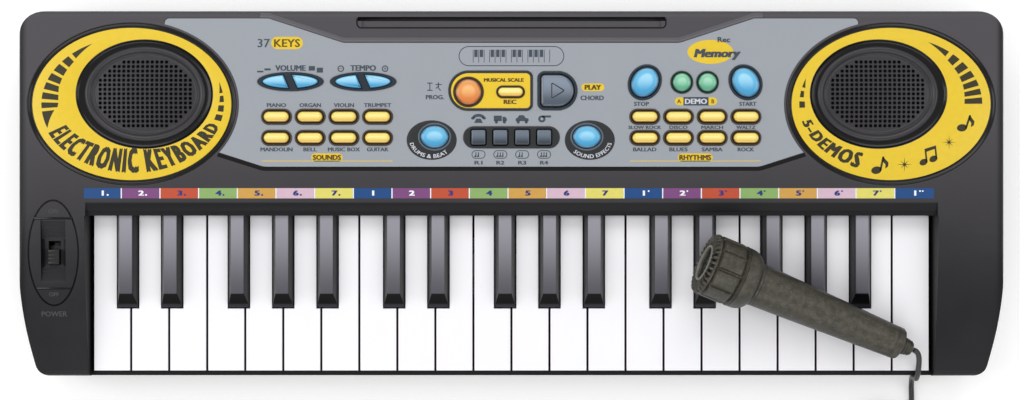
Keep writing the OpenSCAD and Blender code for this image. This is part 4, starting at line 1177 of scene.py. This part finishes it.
def make_caps():
    pills = [capsule((x, y), *PILL) for x in SOUND_X for y in ROW_Y]
    caps("sound_caps", "sound_buttons", YELLOW_CAP, [crown(p, 2.3) for p in pills])
    beats = [capsule((x, y), *PILL) for x in RHYTHM_X for y in ROW_Y]
    caps("rhythm_caps", "rhythm_buttons", YELLOW_CAP, [crown(p, 2.3) for p in beats])
    lenses = [lens(x, s) for x in ROCKER_X for s in (-1, 1)]
    caps("volume_tempo_caps", "volume_tempo_buttons", BLUE_CAP, [crown(p, 1.0) for p in lenses])
    ovals = [ellipse((STOP_X, ROUND_Y), 8.6, 7.2, 72, 55), ellipse((START_X, ROUND_Y), 8.6, 7.2, 72, -55)]
    knobs = [ellipse((x, KNOB_Y), 7.8, 6.3, 72) for x in KNOB_X]
    caps("round_blue_caps", "round_blue_buttons", BLUE_CAP, [crown(p, 4.5) for p in ovals + knobs])
    demos = [ellipse((x, ROUND_Y), 5.2, 5.2, 56) for x in DEMO_X]
    caps("demo_caps", "demo_buttons", GREEN_CAP, [crown(p, 3.4) for p in demos])
    pads = [rounded([(x + u * 4, PAD_Y + v * 4.2, 0.9) for u, v in ((-1, -1), (1, -1), (1, 1), (-1, 1))], 5)
            for x in PAD_X]
    play = play_outline()
    x, y = PLAY_AT
    triangle = rounded([(x - 3.2, y - 4.4, 0.5), (x + 3.9, y, 0.5), (x - 3.2, y + 4.4, 0.5)], 4)
    arrow = sweep(triangle, [(0.3, CROWN_Z - 0.25), (0.3, CROWN_Z + 0.02), (0.1, CROWN_Z + 0.12),
                             (-0.2, CROWN_Z + 0.12), (-0.4, CROWN_Z + 0.02), (-0.4, CROWN_Z - 0.25)])
    caps("pad_play_caps", "pad_play_buttons", SLATE_CAP, [crown(p, 0.8) for p in pads])
    piece("play_cap", join([crown(play, 1.9), arrow]), PLAY_CAP, body="pad_play_buttons",
          slot="button_slate", smooth=45)
    program, record = ellipse(PROGRAM_AT, 7.2, 7.2, 64), capsule(RECORD_AT, 14.0, 5.2)
    caps("programme_cap", "record_buttons", ORANGE_CAP, [crown(program, 4.6)])
    piece("record_cap", crown(record, 2.0), RECORD_CAP, body="record_buttons", slot="button_orange",
          smooth=50)
    # dark surrounds
    rim([offset(p, 1.5) for p in pills + beats], pills + beats, RIM_BROWN, "pill_rims", gap=0.35)
    rim([ellipse((x, ROCKER_Y), 18.3, 5.3) for x in ROCKER_X], lenses, RIM_NAVY, "rocker_rims", bevel=0)
    rim([offset(p, 1.8) for p in ovals], ovals, RIM_NAVY, "oval_rims")
    rim([offset(p, 1.2) for p in demos], demos, RIM_GREEN, "demo_rims")
    around_knobs = [ellipse((x + (1.6 if x > 0 else -1.6), 29.6), 13.8, 10.9) for x in KNOB_X]
    rim(around_knobs, knobs, RIM_BLACK, "knob_plates", 46.2, 0.3)
    rings = [sweep(p, [(0.35, 46.0), (0.35, 46.5), (0.8, 46.65), (1.3, 46.5), (1.35, 46.0)]) for p in knobs]
    piece("knob_rings", join(rings), RING_GREY, smooth=60)
    rim([capsule((0, PAD_Y), 53.3, 12.3, 24)], pads, RIM_BLACK, "pad_bar")
    rim([offset(play, 2.1)], [play], RIM_NAVY, "play_rim", 46.5, 0.5)
    edge = record_plate()
    rim([offset(edge, 0.25)], [edge], RIM_BLACK, "record_border", 46.5, gap=-1.3)
    rim([offset(edge, -1.3)], [program, record], PLATE_YELLOW, "record_plate", PLATE_TOP, 0.2)
    inner = [sweep(p, [(0.25, 46.0), (0.25, 46.4), (0.7, 46.55), (w, 46.4), (w, 46.0)]) for p, w in
             ((program, 1.3), (record, 1.0))]
    piece("record_rims", join(inner), RIM_BROWN, smooth=60)
    # the panel's windows have square corners, so small pieces of panel round them off
    far, left, r, q = PROGRAM_AT[0] + PLATE_L, PLAY_AT[0] - 11.15, 3.85, 4.3
    corners = []
    for s in (-1, 1):
        y = PLAY_AT[1] + s * PLATE_R
        corners.append([(far + 0.2, y + s * 0.2)] + arc((far - 3.6, y - s * 3.6), r, r, 0, s * 90, 8))
        corners.append([(left - 0.1, y + s * 0.1)] + arc((left + q, y - s * q), q, q, 180, 180 - s * 90, 8))
    piece("panel_corners", plate(corners, SEAT_Z, DECK_Z), PANEL, slot="panel_grey")


def make_panel():
    piece("panel", soften("control_panel", 0.12, low=45.0), PANEL, slot="panel_grey",
          nodes=("control_panel",), weighted=True)


# ---------------------------------------------------------------- prints on the panel
def pill(x, y, w, h):
    return flat(capsule((x, y), w, h))


def ring_line(outline, width):
    """A printed line along a closed outline."""
    return flat(outline, offset(outline, -width))


def box_at(x0, x1, y0, y1):
    """A printed rectangle."""
    return flat([(x0, y0), (x1, y0), (x1, y1), (x0, y1)])


def strokes(at, lines):
    """A small line drawing: each line is a list of points around at."""
    parts = []
    for line in lines:
        path = [(at[0] + x, at[1] + y) for x, y in line]
        side, other = (offset(path, half, closed=False) for half in (0.25, -0.25))
        parts.append(flat(side + other[::-1]))
    return parts


def labels(rows, z=None):
    """Words from rows of text, place, capital height, width and thickening."""
    return [words(text, (x, y), height, width, bold, z) for text, x, y, height, width, bold in rows]


def make_prints():
    """Function names, pictures and lines on the grey panel."""
    above = DECK_Z + 2 * INK
    slate, yellow, brown, pale = [], [], [], []
    # names of the sounds and rhythms, over and under their buttons
    for columns, y, height, names, widths in (
            (SOUND_X, 48.8, 2.1, ("PIANO", "ORGAN", "VIOLIN", "TRUMPET"), (10.4, 11.6, 10.9, 14.8)),
            (SOUND_X, 24.5, 2.1, ("MANDOLIN", "BELL", "MUSIC BOX", "GUITAR"), (17.4, 7.2, 17.4, 11.6)),
            (RHYTHM_X, 36.6, 1.75, ("SLOW ROCK", "DISCO", "MARCH", "WALTZ"), (17.8, 9.8, 11.8, 10.4)),
            (RHYTHM_X, 24.5, 2.1, ("BALLAD", "BLUES", "SAMBA", "ROCK"), (12.6, 9.8, 11.2, 8.8))):
        slate += labels((text, x, y, height, w, WORDS_BOLD) for x, text, w in zip(columns, names, widths))
    for x, text, w, half in ((-101.3, "SOUNDS", 15.2, 36.0), (100.9, "RHYTHMS", 17.2, 35.9)):
        yellow += [pill(x, 20.1, w + 2.0, 4.4), box_at(x - half, x + half, 17.9, 18.3)]
        brown.append(words(text, (x, 20.1), 2.7, w, 0.2, z=above))
    slate += labels((
        ("VOLUME", -121.3, 69.2, 3.0, 16.4, 0.2), ("TEMPO", -81.4, 69.2, 3.0, 13.8, 0.2),
        ("37", -136.0, 82.9, 4.6, 6.6, 0.08), ("PROG.", -42.0, 53.2, 2.3, 9.8, 0.15),
        ("CHORD", 44.3, 52.8, 2.5, 12.6, 0.15), ("STOP", 71.4, 49.5, 2.2, 8.0, 0.14),
        ("START", 129.8, 49.5, 2.2, 9.2, 0.14)))
    brown += labels((
        ("KEYS", -123.2, 82.9, 4.2, 14.0, 0.12), ("PLAY", 44.7, 58.6, 2.6, 8.6, 0.25),
        ("A", 92.0, 50.9, 2.2, None, 0.04), ("B", 110.6, 50.9, 2.2, None, 0.04)), above)
    brown += labels((("MUSICAL SCALE", -4.2, 62.6, 1.9, 21.6, 0.2), ("REC", -0.8, 50.6, 2.3, 6.6, 0.24)),
                    PLATE_TOP)
    yellow += [pill(-123.2, 82.9, 17.4, 6.8), pill(44.7, 58.6, 12.6, 4.2), pill(101.3, 50.9, 23.2, 4.3)]
    slate.append(flat([(94.4, 48.6), (108.2, 48.6), (108.2, 53.2), (94.4, 53.2)], z=above - INK))
    pale.append(words("DEMO", (101.3, 50.9), 2.8, 11.8, 0.2, z=above + INK))
    # softer and louder, slower and faster
    for x, y, w, h in ((-137.9, 67.2, 3.4, 0.9), (-133.9, 68.4, 3.4, 1.1), (-109.6, 69.0, 3.4, 2.5),
                       (-105.2, 68.0, 3.4, 2.7)):
        slate.append(box_at(x - w / 2, x + w / 2, y - h / 2, y + h / 2))
    for x in (-93.7, -69.4):
        slate += [ring_line(ellipse((x, 68.8), 1.8, 1.8, 32), 0.6), box_at(x - 0.8, x + 0.8, 68.65, 68.95)]
    slate.append(box_at(-69.55, -69.25, 68.0, 69.6))
    # plain ornament in the middle: a pill with a row of keys
    slate.append(ring_line(capsule((0, 75.7), 58, 11), 0.45))
    for i in range(15):
        x = -21 + 3.0 * i
        slate.append(box_at(x - 0.16, x + 0.16, 72.2, 79.2))
        if i < 14 and i % 7 not in (2, 6):
            slate.append(box_at(x + 0.6, x + 2.4, 75.2, 79.2))
    slate += strokes((-42.3, 58.9), [
        [(-4, 2), (-1, 2)], [(-2.5, 2), (-2.5, -2)], [(-4, -2), (-1, -2)], [(0.6, 1.2), (4, 1.2)],
        [(2.2, 2.4), (2.2, -0.6), (3.4, -2.2)], [(0.8, -1), (2.2, 0.3)]])
    # memory mark
    yellow.append(flat(ellipse((109.2, 78.0), 12.6, 6.6, 64)))
    slate.append(words("Memory", (113.0, 77.4), 4.5, 24.8, 0.45, z=above, lean=0.2))
    slate.append(words("Rec", (116.6, 84.8), 2.8, 6.6, 0.14, z=above))
    # names bent below the round blue buttons
    for x, text, start, end in ((KNOB_X[0] - 1.6, "DRUMS & BEAT", 190, 318),
                                (KNOB_X[1] + 1.6, "SOUND EFFECTS", 222, 350)):
        def below(u, v, x=x, start=start, end=end):
            t, foot = radians(start + (end - start) * u), 1.1 * (1 - 2 * v)
            return x + (11.2 + foot) * cos(t), 29.6 + (8.9 + foot) * sin(t)
        pale.append(ring_words(text, 3.0, 0.1, below, z=46.2))
    # pictures over and under the four pads
    slate += pad_pictures()
    for i, x in enumerate(PAD_X):
        slate.append(words("R" + str(i + 1), (x, 17.2), 2.0, 4.2, 0.14))
        slate.append(ring_line(capsule((x, 21.7), 7.6, 4.6), 0.4))
    piece("prints_slate", join(slate), SLATE_INK)
    piece("prints_yellow", join(yellow), RING_YELLOW)
    piece("prints_brown", join(brown), BROWN_INK)
    piece("prints_pale", join(pale), PALE_INK)


def pad_pictures():
    """A telephone, a lorry, a car and a whistle, with a bar of notes below each pad."""
    y = 41.4
    phone, lorry, car, whistle = PAD_X
    parts = [flat(arc((phone, y + 0.2), 3.6, 2.4, 20, 160, 12) + arc((phone, y - 0.6), 2.4, 1.6, 160, 20,
                                                                     12)),
             flat([(phone - 2.4, y - 2.4), (phone + 2.4, y - 2.4), (phone + 1.2, y), (phone - 1.2, y)]),
             flat(capsule((phone - 3.1, y + 0.2), 1.9, 1.4)), flat(capsule((phone + 3.1, y + 0.2), 1.9, 1.4)),
             flat([(lorry - 3.6, y - 1.4), (lorry + 0.8, y - 1.4), (lorry + 0.8, y + 1.6),
                   (lorry - 3.6, y + 1.6)]),
             flat([(lorry + 1.2, y - 1.4), (lorry + 3.6, y - 1.4), (lorry + 3.6, y), (lorry + 2.6, y + 1.0),
                   (lorry + 1.2, y + 1.0)]),
             flat([(car - 3.6, y - 1.4), (car + 3.6, y - 1.4), (car + 3.4, y), (car + 1.8, y + 0.4),
                   (car + 0.8, y + 1.9), (car - 1.6, y + 1.9), (car - 2.6, y + 0.4), (car - 3.6, y)]),
             flat(ellipse((whistle - 1.2, y - 0.2), 2.0, 1.9, 32),
                  ellipse((whistle - 1.2, y - 0.2), 0.8, 0.8, 24)),
             flat([(whistle - 1.0, y + 0.6), (whistle + 3.8, y + 0.6), (whistle + 3.8, y + 1.7),
                   (whistle - 1.0, y + 1.7)])]
    parts += [flat(ellipse((x + dx, y - 1.9), 0.85, 0.85, 20)) for x in (lorry, car) for dx in (-2.2, 2.2)]
    for i, x in enumerate(PAD_X):
        count = 3 if i % 2 else 2
        parts += strokes((x, 21.7), [[(1.4 * k, -1.2), (1.4 * k, 1.2)] for k in (-1, 0, 1)[:count]])
        parts += [flat(ellipse((x - 1.7 + 1.4 * k, 20.7), 0.6, 0.45, 16)) for k in range(count)]
    return parts


STRIP = (-235.1, 232.3)
STRIP_FIRST, STRIP_PITCH = -214.2, 21.23
STRIP_Y = (-2.4, 3.2)
NOTE_COLOURS = (("blue", "0f447e"), ("purple", "784479"), ("red", "ba4c2f"), ("green", "88a964"),
                ("orange", "c99a49"), ("pink", "cfb1c1"), ("yellow", "dad068"))


def make_note_strip():
    """The strip of coloured cells behind the keys, numbered like the notes of a scale."""
    edges = [STRIP[0]] + [STRIP_FIRST + STRIP_PITCH * i for i in range(len(WHITE_KEYS) - 1)] + [STRIP[1]]
    cells = {name: [] for name, code in NOTE_COLOURS}
    white, navy, top = [], [], DECK_Z + 2 * INK
    for i, (x0, x1) in enumerate(zip(edges, edges[1:])):
        name = NOTE_COLOURS[i % 7][0]
        cells[name].append(box_at(x0 + 0.35, x1 - 0.35, *STRIP_Y))
        ink = white if name in ("blue", "purple") else navy
        middle, octave = (x0 + x1) / 2, i // 7
        ink.append(words(str(i % 7 + 1), (middle + 0.3, 0.55), 2.7, bold=0.3, z=top, wide=1.6))
        for k in range(max(0, octave - 1)):
            ink.append(flat(ellipse((middle + 2.9 + 1.5 * k, 1.6), 0.5, 0.45, 16), z=top))
        if octave == 0:
            ink.append(flat(ellipse((middle + 3.0, -0.5), 0.55, 0.5, 16), z=top))
    gaps = [box_at(x - 0.3, x + 0.3, *STRIP_Y) for x in edges[1:-1]]
    for name, code in NOTE_COLOURS:
        piece("strip_" + name, join(cells[name]), print_look("strip_" + name, code))
    piece("strip_gaps", join(gaps), WHITE_INK)
    piece("strip_white", join(white), WHITE_INK)
    piece("strip_navy", join(navy), NAVY_INK)


# ---------------------------------------------------------------- keys
def make_keys():
    white, black = white_key_look(), black_key_look()
    for names, look, slot, width in ((WHITE_KEYS, white, "key_white", 0.45),
                                     (BLACK_KEYS, black, "key_black", 0.5)):
        for node in names:
            piece(node.replace("key", "keycap"), soften(node, width, low=24.5, angle=25, segments=3), look,
                  body=node, slot=slot, nodes=(node,), smooth=40, weighted=True)


# ---------------------------------------------------------------- microphone
PETALS, PETAL_GROOVE = 10, 1.4
TEETH, TOOTH_NOTCH = 32, 1.8


def microphone_place():
    return (Matrix.Translation(MIC_AT) @ Matrix.Rotation(radians(MIC_YAW), 4, "Z")
            @ Matrix.Rotation(radians(90 + MIC_TILT), 4, "Y"))


def make_microphone():
    """Head with toothed rim and petal panels, stepped collar, and a tapered handle."""
    r = MIC_R

    def petals(angle, radius, z):
        if 3.2 < z < 19.6 and radius > r - 3:
            t = (angle / tau * PETALS) % 1.0
            across = min(1.0, max(0.0, min(t, 1 - t) - 0.05) / 0.06)
            along = min(1.0, max(0.0, min(z - 4.0, 18.6 - z)) / 1.2)
            radius -= PETAL_GROOVE * (1 - min(across, along)) * (1 if 4.0 < z < 19.2 else 0)
        return radius, z

    def teeth(angle, radius, z):
        if 10.8 < radius < 17.15 and z < 2.2:
            t = (angle / tau * TEETH) % 1.0
            notch = min(1.0, max(0.0, (abs(t - 0.5) - 0.2) / 0.12))
            z += TOOTH_NOTCH * notch
        return radius, z

    side = [(16.9, 1.6), (r, 2.4)] + [(r, 3.2 + 16.4 * i / 16) for i in range(17)]
    side += [(r - 0.1, 19.8), (16.6, 20.1), (16.6, 20.5), (17.0, 20.8), (17.0, 22.4), (16.8, 24.4),
             (16.2, 26.4), (15.2, 28.0), (14.0, 29.2), (12.8, MIC_HEAD_L), (0, MIC_HEAD_L)]
    face = [(0, 2.6), (2.0, 2.6), (4.0, 2.6), (6.0, 2.5), (8.2, 2.4), (9.0, 2.2), (9.3, 0.9), (9.7, 0.5),
            (10.3, 0.5), (10.6, 0.9), (10.8, 1.2), (10.9, 0.35), (11.4, 0.25), (13.5, 0.2), (15.6, 0.3),
            (16.2, 0.45), (16.4, 0.9), (16.6, 1.2)]
    head = lathe(face + side, 304, lambda a, q, z: petals(a, *teeth(a, q, z)))
    # painted shade: thin gloss-black discs on the face stand in for the dark inside its sound holes
    holes = []
    for radius, count in ((0.0, 1), (3.2, 6), (6.3, 12)):
        for i in range(count):
            t = tau * i / count
            disc = lathe([(0, 2.45), (0.75, 2.45), (0.95, 2.55), (0.95, 2.75)], 16)
            bmesh.ops.translate(disc, vec=(radius * cos(t), radius * sin(t), 0), verts=disc.verts)
            holes.append(disc)
    grip = [(0, MIC_HEAD_L - 0.4), (11.6, MIC_HEAD_L - 0.4), (12.2, MIC_HEAD_L + 0.3),
            (12.2, MIC_HEAD_L + 1.5), (11.7, MIC_HEAD_L + 2.0), (11.9, MIC_HEAD_L + 2.8)]
    end = MIC_HEAD_L + MIC_HANDLE_L
    for t in (i / 24 for i in range(1, 25)):
        grip.append((11.9 - 2.9 * t ** 1.15, MIC_HEAD_L + 2.8 + (MIC_HANDLE_L - 9) * t))
    grip += [(9.0, end - 5.6), (8.6, end - 5.2), (8.6, end - 4.6), (9.0, end - 4.2), (8.9, end - 1.4),
             (8.3, end - 0.4), (7.4, end), (5.4, end)]
    for k in range(4):
        z = end + 0.6 + 1.6 * k
        q = 5.2 - 0.32 * k
        grip += [(q, z - 0.4), (q, z + 0.4), (q - 0.6, z + 0.6), (q - 0.6, z + 1.0)]
    grip += [(3.6, end + MIC_RELIEF_L - 0.3), (3.0, end + MIC_RELIEF_L), (0, end + MIC_RELIEF_L)]
    handle = lathe(grip, 96)
    place = microphone_place()
    for bm in [head, handle] + holes:
        bmesh.ops.transform(bm, matrix=place, verts=bm.verts)
    look, part = microphone_look(), {"body": "microphone", "slot": "microphone_plastic"}
    ring = lathe([(9.1, 1.2), (9.1, 0.35), (9.4, 0.05), (10.1, 0.05), (10.4, 0.35), (10.4, 1.2)], 96)
    bmesh.ops.transform(ring, matrix=place, verts=ring.verts)
    piece("microphone_ring", ring, MIC_RING, **part, smooth=50)
    piece("microphone_top", head, look, **part, nodes=("microphone_head",), smooth=40)
    piece("microphone_grip", handle, look, **part, nodes=("microphone_handle",),
          smooth=40)
    # painted shade: the black discs in the face's sound holes
    piece("microphone_holes", join(holes), GLOSS_BLACK, **part)


# ---------------------------------------------------------------- inside parts keep their CAD shapes
def carry(node, look):
    """Gives a CAD node that is kept as it is its look."""
    materials = NODES[node].data.materials
    if not materials:
        materials.append(None)
    for i in range(len(materials)):
        materials[i] = look.material


def make_inside():
    carry("speakers", speaker_look())
    carry("circuit_boards", board_look())
    carry("rubber_contacts", rubber_look("contact_rubber", "8e9092"))
    carry("batteries_and_contacts", metal_look("cell_steel", "b9bac0", 0.35, (1, 6, 6)))
    carry("screws", metal_look("screw_steel", "a9abb0", 0.3))


make_top_case()
make_switch()
make_case_trim()
make_underside()
make_speakers()
make_ring_prints()
make_panel()
make_caps()
make_prints()
make_note_strip()
make_keys()
make_microphone()
make_inside()
